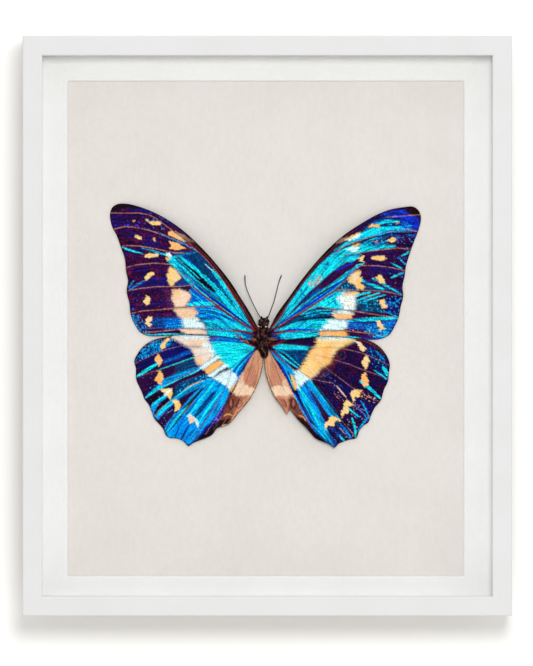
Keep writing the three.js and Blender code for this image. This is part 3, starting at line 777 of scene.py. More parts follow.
rightForewing["strokes"] = [
    ("royal", 1, 1.8, [(336, 271), (344, 267), (353, 263)]),
    ("cyan", 1, 1, [(350, 262), (356, 259), (361, 254)]),
    ("ink", 0.8, 0.8, [(334, 254), (345, 255.3), (358, 254)]),
    ("ink", 1, 1.7, [(302, 307.5), (315, 297.5), (330, 288), (344, 279.5)]),
    ("ink", 0.8, 0.8, [(326, 287), (340, 279), (352, 270)]),
    ("royal", 1, 2.4, [(282, 323), (296, 313), (310, 304), (322, 296), (334, 287.5), (346, 278)]),
    ("azure", 0.9, 1.4, [(340, 284), (350, 274), (358, 267)]),
    ("cyan", 0.95, 1.1, [(300, 315), (318, 310.8), (331, 310)]),
    ("cyan", 0.95, 1.1, [(304, 317), (320, 313.5), (334, 313)]),
    ("royal", 1, 1.8, [(284, 330.3), (298, 329.4), (314, 329.8)]),
    ("ink", 0.9, 1.2, [(305, 334), (316, 332.5), (322, 332)]),
    ("ink", 0.95, 1.6, [(311, 337), (320, 336), (326, 337)]),
    ("ink", 0.95, 1.2, [(340, 250), (350, 245.5), (362, 241), (376, 236.8)]),
    ("ink", 0.85, 1.2, [(364, 226.5), (376, 225.5), (400, 226)]),
    ("cyan", 0.95, 3, [(376, 225), (386, 221.5), (399, 221.5)]),
    ("ink", 0.9, 1.8, [(376, 237), (390, 233.5), (404, 233.5), (416, 233)]),
    ("cyan", 0.95, 1.5, [(360, 246), (368, 241.5), (377, 237.5)]),
    ("cyan", 0.9, 1.2, [(366, 245), (373, 241)]),
    ("sky", 0.95, 2.2, [(374, 236), (388, 232), (398, 231), (411, 232)]),
    ("cyan", 1, 2.6, [(361, 279.5), (370, 284), (384, 289.5)]),
    ("cyan", 1, 1.9, [(373, 278.5), (387, 286), (402, 294.5)]),
    ("cyan", 1, 2, [(356, 296.5), (362, 294), (371, 292)]),
    ("cyan", 1, 2, [(357, 300.5), (368, 297), (380, 292.5)]),
    ("cyan", 0.95, 1.4, [(363, 302), (374, 298), (386, 294.5)]),
    ("wine", 0.9, 1.3, [(360, 297.5), (368, 294.5), (376, 292.5)]),
    ("wine", 0.9, 1.3, [(364, 300), (374, 296), (384, 293)]),
    ("cyan", 1, 3.4, [(348, 321), (360, 319.8), (380, 318.8), (398, 317.8)]),
    ("sky", 0.9, 1.3, [(384, 311), (391, 314), (398, 317.5)]),
    ("ink", 0.85, 1.4, [(354, 321.8), (366, 323), (378, 322)]),
    ("sky", 0.9, 1.5, [(391, 305), (402, 298)]),
    ("cyan", 0.9, 1.5, [(402, 256), (409.5, 251.5)]),
    ("cyan", 0.95, 1.3, [(391, 263), (402, 268.5)]),
    ("sky", 0.9, 1.3, [(399, 258), (406, 265)]),
    ("cyan", 0.95, 1.7, [(391, 277.5), (404, 272.5)]),
    ("cyan", 0.9, 1.5, [(356, 265.5), (364, 263.5)]),
    ("azure", 0.95, 1.6, [(412, 248), (417, 234)]),
    ("cyan", 1, 1.7, [(312, 336.8), (326, 336.5), (345, 337), (362, 338.3)]),
    ("royal", 0.95, 1.8, [(360, 338.3), (378, 339), (389, 334.5), (395, 325)]),
    ("cyan", 0.85, 1.5, [(376, 335), (384, 336.5), (390, 331)]),
]
rightForewing["bands"] = [
    ("white", 0.97, 1.8, [(338, 297), (342, 293), (356, 292), (356, 297), (355, 303), (354, 310),
     (345, 310), (341, 306)]),
    ("gold", 0.75, 0.8, [(340, 294.5), (348, 292), (358, 292), (354, 296), (350, 294.5), (345, 297)]),
    ("pink", 0.5, 2, [(344, 298), (354, 296), (353, 308), (346, 308)]),
    ("white", 0.95, 1.2, [(332, 311), (345, 310), (353, 313), (350, 315), (336, 315)]),
    ("orange", 1, 1, [(333, 315), (340, 313.5), (353, 314), (353, 318.7), (334, 319)]),
    ("white", 0.98, 1.8, [(329, 319.5), (345, 319.5), (348, 323), (345, 330), (323, 330)]),
    ("orange", 0.97, 1.1, [(320, 331.5), (345, 331), (348, 334), (344, 336.7), (320, 336)]),
    ("cream", 1, 0.8, [(359.5, 269.5), (361, 279), (365, 287), (363, 290), (358, 288), (350, 282),
     (347.5, 280), (352, 274.5)]),
    ("pink", 0.6, 2, [(357, 272), (360, 278), (354, 284), (350, 281)]),
    ("orange", 0.5, 1, [(356, 281), (361, 279), (365, 287), (363, 290), (358, 287)]),
]
rightForewing["marks"] = [
    ("gold", 1, [(369, 226), (374.5, 223), (378, 225), (380, 228), (375, 227), (370, 227)]),
    ("gold", 0.7, [(396, 222), (398, 222), (398, 224), (396, 224)]),
    ("cream", 1, [(389.5, 240), (393, 237), (397, 238), (396, 241), (392, 242.3)]),
    ("tan", 0.9, [(374.5, 241), (379, 240.3), (377, 243)]),
    ("gold", 1, [(351, 246.5), (356, 243.8), (360, 244), (357, 247)]),
    ("ice", 1, [(345, 249.5), (352, 247), (359, 247.8), (358, 251.7), (350, 251.7)]),
    ("ice", 0.95, [(347, 240), (361, 232), (360, 237), (350, 241.5)]),
    ("gold", 0.95, [(343, 240.5), (352, 235.5), (361, 231), (357, 235), (347, 240)]),
    ("pink", 1, [(335, 244), (341, 238.8), (347, 237), (344, 241), (338, 244.8)]),
    ("cream", 1, [(371, 258), (376, 256), (386, 255.3), (387, 258), (381, 260.7), (375, 260)]),
    ("cream", 1, [(358.5, 258.5), (363, 254.8), (365, 256), (363, 259), (364, 262.5), (361, 262)]),
    ("cream", 1, [(374.2, 277.5), (380, 274), (383, 278), (386, 283.3), (382, 283), (378, 279.5)]),
    ("cream", 1, [(379, 301), (383, 298.6), (386, 303), (387.3, 307.5), (383, 309), (381, 306)]),
    ("cream", 1, [(376.5, 321), (380, 320.3), (382, 325), (384, 328.5), (380, 331), (378, 327)]),
]
rightForewing["inner"] = [
    ("bark", 0.85, 1.6, [(267, 326), (273.5, 328.5), (273.5, 336), (272, 339), (266, 339)]),
]
rightForewing["cords"] = [
    (1.0, [(296, 330.9), (284, 331.8), (273, 334.4)]),
    (0.7, [(272, 328), (279, 319), (286, 309)]),
    (1.1, [(350, 274), (345, 280.5), (335.5, 290), (325, 297), (310, 307), (290, 319.3), (273, 331)]),
]
rightForewing["details"] = [
    ("ink", 0.8, 1, [(275, 327), (283, 316), (292, 304)]),
    ("night", 0.85, 1.2, [(384, 216.5), (396, 213.5), (409, 216)]),
    ("night", 0.8, 1, [(394, 218.5), (404, 219.5), (413, 225)]),
    ("ink", 0.6, 1, [(388, 214), (400, 211.5)]),
    ("umber", 0.7, 1, [(278, 340), (292, 339), (312, 337.6)]),
]

leftHindwing = {
    "name": "hindwing_left",
    "wine": 0.2,
    "fray": 1.2,
    "lines": 0.22,
    "tip": 0.2 * mm,
    "rise": 1.6 * mm,
    "leading": 0,
    "inside": 0.5 * mm,
    "root": (256, 347),
    "veins": "bark",
    "ground": "shade",
    "costa": 0,
    "hidden": {1: 400, 3: 42, 4: 40, 9: 30},
}
leftHindwing["outline"] = [
    (255.6, 342.3), (244, 334), (222, 328.5), (195, 329.5), (170, 336.3), (155, 339.5), (145, 345),
    (137.6, 353.8), (134.4, 361.3), (135.9, 368.6), (135.9, 375), (136.5, 380.3), (142.5, 393.6),
    (144.2, 398.5), (148.8, 404.8), (152, 412.5), (154.4, 418.6), (160, 425), (163.6, 429.6),
    (166.2, 435.6), (170.3, 438), (176.9, 438.5), (183.5, 441.4), (188.5, 446), (193.3, 443), (204, 438.8),
    (212.4, 434.6), (217.3, 428.4), (228.1, 424.6), (240, 411.3), (250, 399.1), (257.5, 384.8),
    (261.6, 372.3), (263.2, 362.5), (263.4, 357), (262, 350), (260, 344),
]
leftHindwing["guides"] = [
    [(256, 341), (240, 333), (215, 328.5), (190, 330.5), (165, 336.6), (150, 342), (138, 351)],
    [(255, 344), (240, 340), (222, 338), (200, 340), (180, 341.5), (160, 347), (145, 352.5), (134, 359.5)],
    [(254, 346), (240, 344), (230, 346.5), (220, 348.3), (210, 348), (200, 346.8), (183, 345.5), (165, 350),
     (150, 356), (134, 364)],
    [(254, 347), (235, 350), (220, 349.5), (213, 352), (200, 355.5), (190, 358.7), (180, 362), (170, 366),
     (155, 371), (136, 377.5)],
    [(254, 348), (236, 355), (222, 357), (212, 358), (206, 362), (195, 371), (180, 377), (160, 388),
     (144, 398.5)],
    [(255, 349), (243, 358), (228, 369.5), (214, 377), (206, 380), (190, 386), (183, 391), (170, 401),
     (160, 409), (153, 418)],
    [(255, 349.5), (243, 358.5), (230, 370), (216, 378), (208, 386), (200, 394.5), (185, 411), (175, 421),
     (165, 433)],
    [(255, 350), (243, 360), (232, 371), (228.5, 378), (226, 388), (215, 406), (208, 417), (201, 427),
     (190, 445)],
    [(255.5, 350), (243, 363), (238, 372), (234, 383), (227, 398), (221, 410), (206, 434)],
    [(256.5, 351), (252, 365), (247, 378), (240, 392), (232, 410), (222, 426)],
    [(259, 353), (262, 365), (257.5, 384.8), (245, 405.5), (231, 421.9)],
]
leftHindwing["areas"] = [
    ("night", 0.75, 3, [(139, 356), (160, 352), (188, 347), (192, 357), (160, 366), (138, 368)]),
    ("night", 0.9, 2, [(166, 342), (180, 341), (192, 350), (191, 357), (168, 352)]),
    ("umber", 0.9, 1.2, [(137, 352), (146, 343), (156, 338.5), (170, 335), (171, 337.5), (158, 341),
     (147, 347)]),
    ("deep", 0.85, 2, [(136, 361), (144, 349), (158, 341), (172, 340), (176, 346), (160, 350), (148, 356)]),
    ("azure", 0.6, 1.5, [(163, 361), (177, 355.5), (190, 350), (190, 353), (178, 358.5), (165, 363)]),
    ("teal", 0.8, 2, [(176, 365), (196, 358), (200, 364), (186, 370), (174, 374)]),
    ("dusk", 0.6, 2, [(138, 379), (152, 371), (178, 366), (176, 374), (160, 382), (146, 391), (140, 390)]),
    ("sky", 0.97, 1, [(208, 362), (200, 366), (180, 372), (164, 379.5), (158, 385), (146, 397), (160, 389),
     (180, 379), (196, 371.8)]),
    ("dusk", 0.75, 1.4, [(160, 389), (182, 379), (203, 368), (208, 374), (190, 379), (176, 385),
     (172, 390)]),
    ("teal", 0.9, 1.4, [(172, 398), (176, 385), (190, 379), (207, 373.5), (210, 378), (190, 386),
     (180, 392)]),
    ("sky", 0.95, 1, [(212, 378), (200, 381.5), (186, 389), (172, 399), (160, 410), (153, 419), (159, 419),
     (170, 407), (182, 397), (196, 389), (207, 383)]),
    ("ink", 0.9, 1.4, [(147, 399), (156, 394), (164, 394), (170, 399), (160, 410), (155, 413), (158, 404),
     (150, 405)]),
    ("sky", 0.95, 1, [(150, 409), (153, 403), (165, 394.5), (167, 397), (158, 404), (154, 412)]),
    ("dusk", 0.75, 1.4, [(158, 418), (172, 406), (178, 411), (170, 424), (164, 428)]),
    ("sky", 0.98, 1.2, [(211, 378), (222, 381), (230, 392), (226, 402), (214, 420), (204, 428), (198, 438),
     (190, 445), (180, 440), (168, 437), (165, 431), (178, 412), (190, 398), (202, 386)]),
    ("azure", 0.45, 3, [(186, 424), (204, 424), (198, 440), (188, 446), (176, 438), (172, 432)]),
    ("night", 0.9, 1.4, [(231, 391), (235, 395), (227, 412), (214, 428), (203, 437), (198, 437), (206, 428),
     (218, 414), (226, 402)]),
    ("night", 0.9, 0.9, [(217, 390), (211, 401), (202, 412), (195, 418), (194, 415), (203, 403),
     (210, 394)]),
    ("azure", 0.9, 1.4, [(206, 336), (230, 336.5), (248, 341), (230, 343), (208, 344)]),
    ("plum", 0.6, 2, [(205, 336), (220, 336), (216, 341), (207, 343)]),
    ("cyan", 1, 1, [(256, 347), (246, 343.5), (232, 342), (220, 341.5), (210, 342), (213, 350), (217, 356),
     (224, 364), (233, 371), (240, 362), (250, 352)]),
    ("azure", 0.98, 1, [(255, 350), (246, 357), (236, 367), (231, 373), (234, 386), (241, 374), (249, 362),
     (254, 355)]),
]
leftHindwing["flecks"] = [
    ("sky", -0.02, [(135, 362), (140, 352), (150, 343), (164, 339), (174, 341), (162, 350), (150, 356)]),
    ("cyan", 0.3, [(137, 358), (146, 346), (158, 341), (170, 342), (156, 352)]),
    ("night", 0.12, [(206, 363), (180, 371), (162, 380), (158, 386), (180, 377), (198, 370)]),
    ("sky", 0.14, [(176, 386), (190, 380), (208, 374), (210, 378), (190, 386), (178, 393)]),
    ("night", 0.15, [(206, 381), (186, 389), (170, 402), (158, 414), (170, 408), (184, 396), (200, 388)]),
    ("sky", 0.4, [(138, 380), (150, 375), (156, 386), (146, 394)]),
    ("orange", 0.45, [(150, 400), (156, 396), (172, 424), (166, 430)]),
    ("sky", 0.3, [(158, 418), (172, 407), (176, 412), (166, 430)]),
    ("azure", 0.15, [(168, 426), (180, 414), (190, 424), (186, 440), (170, 436)]),
    ("night", 0.3, [(170, 424), (182, 412), (196, 424), (200, 436), (188, 444), (172, 436)]),
    ("royal", 0.1, [(231, 392), (234, 396), (224, 414), (208, 432), (200, 436), (214, 418)]),
    ("tan", 0.35, [(220, 412), (226, 414), (214, 430), (204, 434)]),
]
leftHindwing["strokes"] = [
    ("cyan", 1, 3, [(137, 376.5), (147, 370), (158, 363.5)]),
    ("cyan", 0.9, 1.1, [(208, 353), (190, 358.7), (170, 366), (158, 370)]),
    ("cyan", 1, 1.7, [(208, 363), (195, 371.8), (180, 378), (160, 388.5), (146, 397.5)]),
    ("ink", 0.9, 1, [(204, 366.5), (186, 375), (164, 385)]),
    ("cyan", 0.95, 1.4, [(160, 386), (152, 392), (146, 398)]),
    ("cyan", 0.95, 1.3, [(211, 379), (197, 383.5), (184, 391), (170, 402), (158, 412)]),
    ("gold", 0.8, 0.9, [(204, 380.5), (192, 385), (184, 390)]),
    ("ink", 0.85, 0.9, [(203, 384), (188, 392), (174, 404)]),
    ("cyan", 1, 1.6, [(152, 405.5), (160, 399.5), (167, 394.5)]),
    ("cyan", 0.95, 1.6, [(156, 417), (164, 410), (173, 403)]),
    ("sky", 0.9, 1.5, [(153, 409), (154, 417)]),
    ("cyan", 0.95, 2, [(204, 387), (192, 400), (180, 415), (168, 431)]),
    ("ink", 0.95, 1.6, [(201, 390), (190, 404), (178, 420), (168, 432)]),
    ("ink", 0.95, 2.2, [(203, 388), (192, 400), (183, 409)]),
    ("ink", 0.9, 1.2, [(208, 384), (198, 395), (186, 411)]),
    ("ink", 0.9, 1.1, [(178, 411), (170, 422), (165, 432)]),
    ("sky", 0.9, 1.3, [(176, 413), (168, 424), (164, 432)]),
    ("cyan", 0.9, 3, [(214, 383), (203, 397), (190, 414)]),
    ("cyan", 0.8, 2, [(223, 388), (210, 406), (198, 424)]),
    ("royal", 0.9, 1, [(208, 387), (196, 402), (184, 418), (178, 428)]),
    ("night", 0.9, 1.3, [(224, 391), (210, 413), (200, 428)]),
    ("night", 0.95, 2.2, [(188, 427), (181, 440)]),
    ("night", 0.9, 1.4, [(179, 428), (175, 437)]),
    ("cyan", 1, 1.5, [(254, 349), (240, 358), (224, 367)]),
    ("cyan", 1, 1.4, [(252, 353), (241, 365), (233, 379)]),
    ("royal", 0.95, 1.5, [(253, 352), (240, 364), (232, 373)]),
    ("night", 0.95, 1.6, [(252, 355), (244, 367), (236, 383)]),
    ("sky", 0.9, 1, [(250, 359), (242, 372), (236, 384)]),
    ("ink", 0.95, 1.8, [(255, 351), (247, 363), (240, 378), (234, 390), (229, 402)]),
]
leftHindwing["bands"] = [
    ("blush", 0.97, 1.8, [(170, 335), (208, 334), (209, 341), (210, 347), (188, 347), (180, 342),
     (172, 338)]),
    ("white", 0.8, 1.4, [(180, 335), (207, 334), (208, 339), (184, 339)]),
    ("orange", 0.4, 1.8, [(185, 341), (206, 341), (207, 345), (190, 345)]),
    ("white", 0.85, 1.5, [(204, 343), (211, 345), (215, 354), (213, 359), (207, 352), (200, 348)]),
    ("blush", 0.97, 1.4, [(190, 347.5), (206, 348), (212, 352), (211, 359), (204, 366), (197, 364),
     (195, 356)]),
    ("orange", 0.55, 1.3, [(195, 358), (203, 357), (203, 364), (198, 365)]),
    ("white", 0.97, 1, [(199, 368.5), (208, 362), (217, 355.5), (221, 357), (211, 364), (203, 370)]),
    ("orange", 1, 0.8, [(204, 370), (211, 364.5), (220, 360), (224, 363), (216, 369), (208, 374)]),
    ("white", 0.97, 0.8, [(207, 376), (216, 369.5), (226, 363.5), (229, 366), (220, 371), (212, 377.5)]),
    ("white", 0.98, 1, [(213, 378), (224, 371.5), (232, 369.5), (230, 378), (227, 387), (220, 382)]),
    ("white", 0.97, 0.8, [(232, 371), (238, 377), (234, 386), (229.5, 391), (227.5, 386), (230, 378)]),
    ("orange", 0.85, 0.6, [(236, 381), (235, 386), (231.5, 391.5), (230.5, 389)]),
]
leftHindwing["marks"] = [
    ("cream", 1, [(168.5, 337.3), (170.3, 339), (166, 343), (165, 348), (161, 349.3), (160.5, 345),
     (164, 341)]),
    ("orange", 1, [(158.5, 353.6), (155.3, 358), (155, 361), (158, 363), (159, 366.5), (161, 365),
     (162.7, 360.5), (160, 356)]),
    ("orange", 1, [(157, 370.7), (160, 371), (163, 374), (164.2, 378), (162, 382), (161, 386), (158, 382),
     (155, 380), (157, 376), (158.5, 373)]),
    ("cream", 1, [(160, 389.7), (168, 388), (172, 389), (172.7, 393), (170.5, 400), (168, 396.5),
     (165, 394)]),
    ("white", 0.9, [(163, 395), (170, 389), (171.5, 390.5), (166, 396)]),
    ("cream", 1, [(171, 401), (176, 399.3), (179.5, 401), (181, 406), (179, 410), (175, 411.5),
     (175.5, 406), (174.5, 403)]),
    ("ice", 0.85, [(186, 416.5), (190, 414), (195, 417), (199, 422), (198.5, 428), (194, 421.5)]),
    ("pink", 1, [(187.5, 417), (191, 414.8), (195, 418.5), (193, 422.8), (189.5, 424.2), (189.5, 420)]),
]
leftHindwing["inner"] = [
    ("bark", 0.8, 1.6, [(253, 344.5), (260, 342), (261, 353), (255, 352)]),
    ("fawn", 1, 0.8, [(256, 350.5), (249, 361), (241, 377), (235, 389), (230, 400), (222, 416), (213, 428),
     (214, 437), (230, 428), (246, 409), (260, 387), (267, 362), (260, 350)]),
    ("tan", 0.35, 2, [(254, 353), (247, 366), (243, 379), (248, 386), (256, 387), (258, 372), (259, 358)]),
    ("rose", 0.7, 1.4, [(247, 367), (254, 365), (257, 374), (256, 387.5), (249, 386), (243, 380)]),
    ("pink", 0.45, 1, [(238, 378), (243, 372), (244, 382), (240, 388), (235, 390)]),
    ("buff", 0.97, 1, [(238, 384), (243, 382), (249, 387.5), (256, 388.5), (252, 394.5), (241, 396),
     (232.5, 393)]),
    ("brick", 0.92, 1.4, [(230, 394), (238, 396), (246, 397), (240, 404), (233, 416), (227, 424),
     (216, 429), (221, 416), (226, 404)]),
    ("tan", 0.7, 1.4, [(241, 397), (250, 397), (247, 404), (238, 413), (233, 420), (234, 410), (239, 404)]),
    ("ink", 0.92, 1.2, [(219, 420), (232, 418), (228, 425), (216, 431), (214, 435), (206, 439), (196, 443),
     (198, 438), (208, 430)]),
]
leftHindwing["cords"] = [
    (1.0, [(244, 342), (249, 344), (256, 347)]),
]
leftHindwing["details"] = [
    ("bark", 0.8, 1.1, [(231, 398.5), (233.3, 401), (233.5, 405), (231.5, 408.5), (229, 407), (228.6, 402),
     (231, 398.5)]),
    ("rose", 0.9, 1.6, [(231, 401), (231, 406)]),
    ("bark", 0.7, 0.9, [(239.5, 399.5), (242, 402), (241, 406.5), (238, 408), (237, 404), (239.5, 399.5)]),
    ("orange", 0.75, 1.3, [(224, 416), (228, 414), (233, 415.5)]),
    ("bark", 0.9, 2.4, [(228, 425.5), (217, 430), (211, 435), (203, 439), (193, 443), (188, 445)]),
    ("buff", 0.8, 1, [(217, 429), (222, 426.4), (228, 424.2)]),
    ("tan", 0.8, 1.2, [(241, 340.3), (246, 340.8), (249, 343)]),
    ("umber", 0.5, 0.8, [(255, 352), (251, 367), (246, 382)]),
    ("umber", 0.5, 0.8, [(258, 356), (258, 372), (254, 387)]),
]

rightHindwing = {
    "name": "hindwing_right",
    "wine": 0.2,
    "fray": 1.3,
    "lines": 0.42,
    "tip": 0.2 * mm,
    "rise": 1.6 * mm,
    "leading": 0,
    "inside": 1.2 * mm,
    "root": (271, 347),
    "veins": "bark",
    "ground": "shade",
    "costa": 0,
    "hidden": {1: 400, 3: 42, 4: 42, 6: 95, 8: 400, 9: 400},
}
rightHindwing["outline"] = [
    (272, 342.3), (284, 334.5), (306, 330), (334, 331.5), (359, 338), (370, 340.9), (380, 346.9),
    (387, 356), (389.9, 364.3), (389, 374), (388.1, 381.2), (384.2, 389.6), (380.8, 400.6), (375, 407.6),
    (371.3, 415), (368.2, 422.6), (363.6, 425.7), (359.2, 431.3), (356.6, 437.8), (349, 439.8),
    (339.3, 443.4), (334.5, 447.6), (329.3, 444.4), (316, 438.6), (309.6, 431.8), (299, 420.5),
    (291.4, 411), (289.8, 409.6), (287.2, 414.2), (281.8, 406.5), (274, 396), (269.3, 385.4), (265.6, 373),
    (264.6, 362.5), (264.8, 357), (266, 350), (267.5, 344),
]
rightHindwing["guides"] = [
    [(271.5, 341), (285, 334), (310, 330), (335, 332), (359, 339), (375, 344), (388, 356)],
    [(272, 343.5), (290, 342), (310, 342.5), (335, 342.5), (355, 346), (372, 352.5), (390, 361)],
    [(272, 345), (280, 344), (290, 346.3), (306, 348.7), (325, 347.3), (338, 347.5), (355, 351.3),
     (365, 354), (391, 366)],
    [(272, 347), (290, 350.5), (306, 350), (313, 353.5), (330, 358.5), (350, 364.5), (362, 369.5),
     (390, 379)],
    [(271, 348), (290, 356), (306, 357.5), (314, 358), (320, 363.5), (335, 374.5), (350, 386), (370, 398),
     (381, 402)],
    [(270, 349), (283, 360), (297, 369), (311, 378.5), (320, 381), (333, 383), (347, 399), (355, 406),
     (370, 419)],
    [(270, 349.5), (283, 360.5), (297, 369.5), (310, 379), (318, 389), (333, 409.5), (341, 420),
     (357, 438)],
    [(270, 350), (282, 361), (292, 369.5), (298, 383), (302, 392), (318, 420), (334, 447)],
    [(270, 350.5), (278, 362), (285, 375), (290, 385), (301, 404), (312, 424), (323, 441)],
    [(269, 351), (273, 365), (278, 378), (286, 392), (294, 408), (304, 425)],
    [(267, 353), (264.5, 362), (269.3, 385.4), (281.8, 406.5), (297, 418)],
]
rightHindwing["areas"] = [
    ("maroon", 0.8, 2.4, [(350, 344), (342, 348), (337, 355), (331, 363), (322, 371), (317, 377),
     (321, 379), (330, 371), (338, 361), (345, 352)]),
    ("umber", 0.8, 1.2, [(358, 336), (372, 340), (388, 352), (384, 354), (370, 344), (358, 340)]),
    ("night", 0.75, 3, [(366, 344), (386, 357), (389, 376), (376, 374), (368, 360)]),
    ("night", 0.5, 4, [(330, 378), (352, 388), (362, 402), (345, 398), (332, 388)]),
    ("night", 0.6, 3, [(354, 398), (376, 404), (368, 420), (356, 418)]),
    ("teal", 0.6, 3, [(338, 424), (350, 429), (352, 439), (342, 434)]),
    ("shade", 0.9, 1.2, [(278, 341), (298, 338), (318, 337), (315, 346), (304, 344.5), (288, 343)]),
    ("cyan", 0.97, 1, [(272, 346), (282, 344), (296, 345.5), (312, 347), (306, 350), (290, 351),
     (283, 353)]),
    ("teal", 0.97, 1, [(283, 350), (300, 349.5), (308, 350.5), (306, 357), (302, 363), (298, 368),
     (290, 361)]),
    ("night", 0.45, 2, [(290, 351), (304, 351), (305, 357), (300, 363), (294, 358)]),
    ("sky", 1, 0.9, [(269.5, 350), (277, 353), (286, 361.5), (294, 370.5), (293, 377.5), (287, 371),
     (278, 361)]),
    ("sky", 0.98, 1, [(297, 389), (303, 384), (310, 379.5), (313, 384), (322, 397), (333, 412), (337, 418),
     (330, 416.5), (321, 406), (324, 420), (328, 432), (333, 445), (326, 441), (317, 428), (308, 415),
     (302, 402)]),
    ("dusk", 0.97, 1, [(309, 388), (315, 395), (323, 407), (329, 417), (323, 419), (318, 410), (312, 398)]),
    ("royal", 0.9, 1, [(291, 390), (296, 394), (303, 409), (312, 424), (320, 435), (312, 431), (302, 417),
     (295, 403)]),
    ("night", 0.9, 1, [(280, 365), (288, 375), (291, 383), (288, 385), (282, 374)]),
    ("azure", 0.6, 3, [(322, 430), (330, 436), (336, 446), (326, 443)]),
]
rightHindwing["flecks"] = [
    ("teal", 0.02, [(367, 346), (385, 357), (389, 374), (376, 374), (368, 360)]),
    ("sky", 0.26, [(370, 348), (386, 358), (389, 380), (376, 374), (370, 358)]),
    ("sky", 0.28, [(284, 350), (300, 350), (300, 362), (290, 358)]),
    ("teal", 0.25, [(318, 372), (332, 372), (336, 386), (322, 384)]),
    ("sky", 0.35, [(328, 376), (338, 380), (346, 394), (336, 390)]),
    ("tan", 0.26, [(334, 388), (344, 392), (350, 402), (340, 404)]),
    ("tan", 0.3, [(362, 388), (378, 394), (378, 404), (362, 402), (372, 414), (364, 424), (348, 418),
     (352, 404)]),
    ("pink", 0.5, [(360, 390), (380, 396), (372, 414), (358, 410)]),
    ("azure", 0.42, [(354, 400), (376, 406), (366, 424), (352, 420)]),
    ("sky", 0.28, [(344, 422), (362, 424), (356, 438), (340, 440)]),
    ("tan", 0.32, [(350, 420), (366, 424), (356, 438), (340, 442), (342, 430)]),
    ("azure", 0.25, [(320, 428), (342, 430), (342, 444), (330, 446)]),
    ("night", 0.2, [(304, 388), (320, 408), (328, 430), (318, 424), (308, 408)]),
]
rightHindwing["strokes"] = [
    ("cyan", 1, 1.5, [(276, 350.5), (287, 360), (298, 368)]),
    ("cyan", 0.9, 0.9, [(284, 352), (292, 359), (299, 365)]),
    ("rust", 0.7, 1, [(273, 350), (284, 361), (294, 369.5)]),
    ("royal", 0.95, 1.5, [(281, 365), (287, 376), (292, 388)]),
    ("royal", 0.95, 2, [(292, 391), (298, 402), (304, 414), (312, 426), (321, 436), (332, 446)]),
    ("ink", 0.9, 1.2, [(296, 392), (303, 404), (310, 417), (318, 430)]),
    ("cyan", 0.9, 0.9, [(283, 365), (289, 377), (294, 389)]),
    ("cyan", 0.95, 1.6, [(311, 381), (322, 396), (334, 412), (340, 420)]),
    ("cyan", 0.95, 3, [(300, 389), (308, 403), (317, 420), (330, 441)]),
    ("azure", 0.9, 2.4, [(306, 386), (313, 400), (321, 416)]),
    ("ink", 0.9, 1.1, [(313, 383), (325, 399), (337, 415)]),
    ("teal", 0.9, 1, [(317, 386), (328, 400), (338, 414)]),
    ("sky", 0.9, 1.8, [(294, 394), (303, 412), (314, 430), (326, 441)]),
    ("cyan", 1, 3, [(360, 381), (370, 388.5), (380, 398)]),
    ("cyan", 1, 1.5, [(348, 407.5), (353, 412), (360, 417)]),
    ("cyan", 1, 2.2, [(352, 418), (355, 427.5), (355.8, 437)]),
    ("sky", 0.9, 1.5, [(361, 401), (366, 409.5), (369.5, 418)]),
    ("azure", 0.85, 1.2, [(357, 408), (364, 414), (368, 421)]),
    ("cyan", 1, 3.6, [(383, 367), (388.5, 376)]),
    ("cyan", 0.9, 1.5, [(374, 370), (387, 379)]),
    ("sky", 0.9, 1.6, [(376, 351), (385, 361)]),
    ("cyan", 0.95, 1.8, [(340, 436), (344.5, 441.5)]),
    ("azure", 0.9, 2.2, [(341, 424), (347, 432), (351, 438)]),
    ("sky", 0.9, 1.8, [(369, 417), (362, 425), (358, 432)]),
    ("cyan", 0.8, 1.3, [(312, 424), (322, 435), (333, 445)]),
    ("pink", 0.85, 1.3, [(337, 386), (341, 391), (346, 397)]),
    ("night", 0.8, 1.1, [(325, 369), (337, 377), (350, 387)]),
]
rightHindwing["bands"] = [
    ("cream", 1, 1.8, [(317, 336), (345, 336.5), (355, 341), (345, 345.5), (338, 349.5), (335, 353.5),
     (331, 358), (328, 364), (320, 370), (316, 375), (311, 379), (303, 374), (299, 370), (302, 366),
     (305, 361), (308, 356), (311, 351), (316, 346)]),
    ("white", 0.85, 1.5, [(317, 335), (346, 336), (354, 340), (335, 340.5), (320, 340.5)]),
    ("orange", 0.75, 3, [(320, 346), (334, 347), (330, 362), (318, 366), (312, 356)]),
    ("orange", 0.5, 1.5, [(309, 368), (317, 370), (313, 376), (308, 374)]),
    ("white", 0.98, 0.9, [(293.5, 370), (300, 371), (310, 379), (305, 382), (300, 387), (296, 380)]),
    ("gold", 1, 0.6, [(290.5, 375), (293, 375.5), (297.5, 388), (294.5, 389.5)]),
    ("white", 0.9, 0.6, [(294, 375), (296, 376), (300, 389), (297.5, 389)]),
]
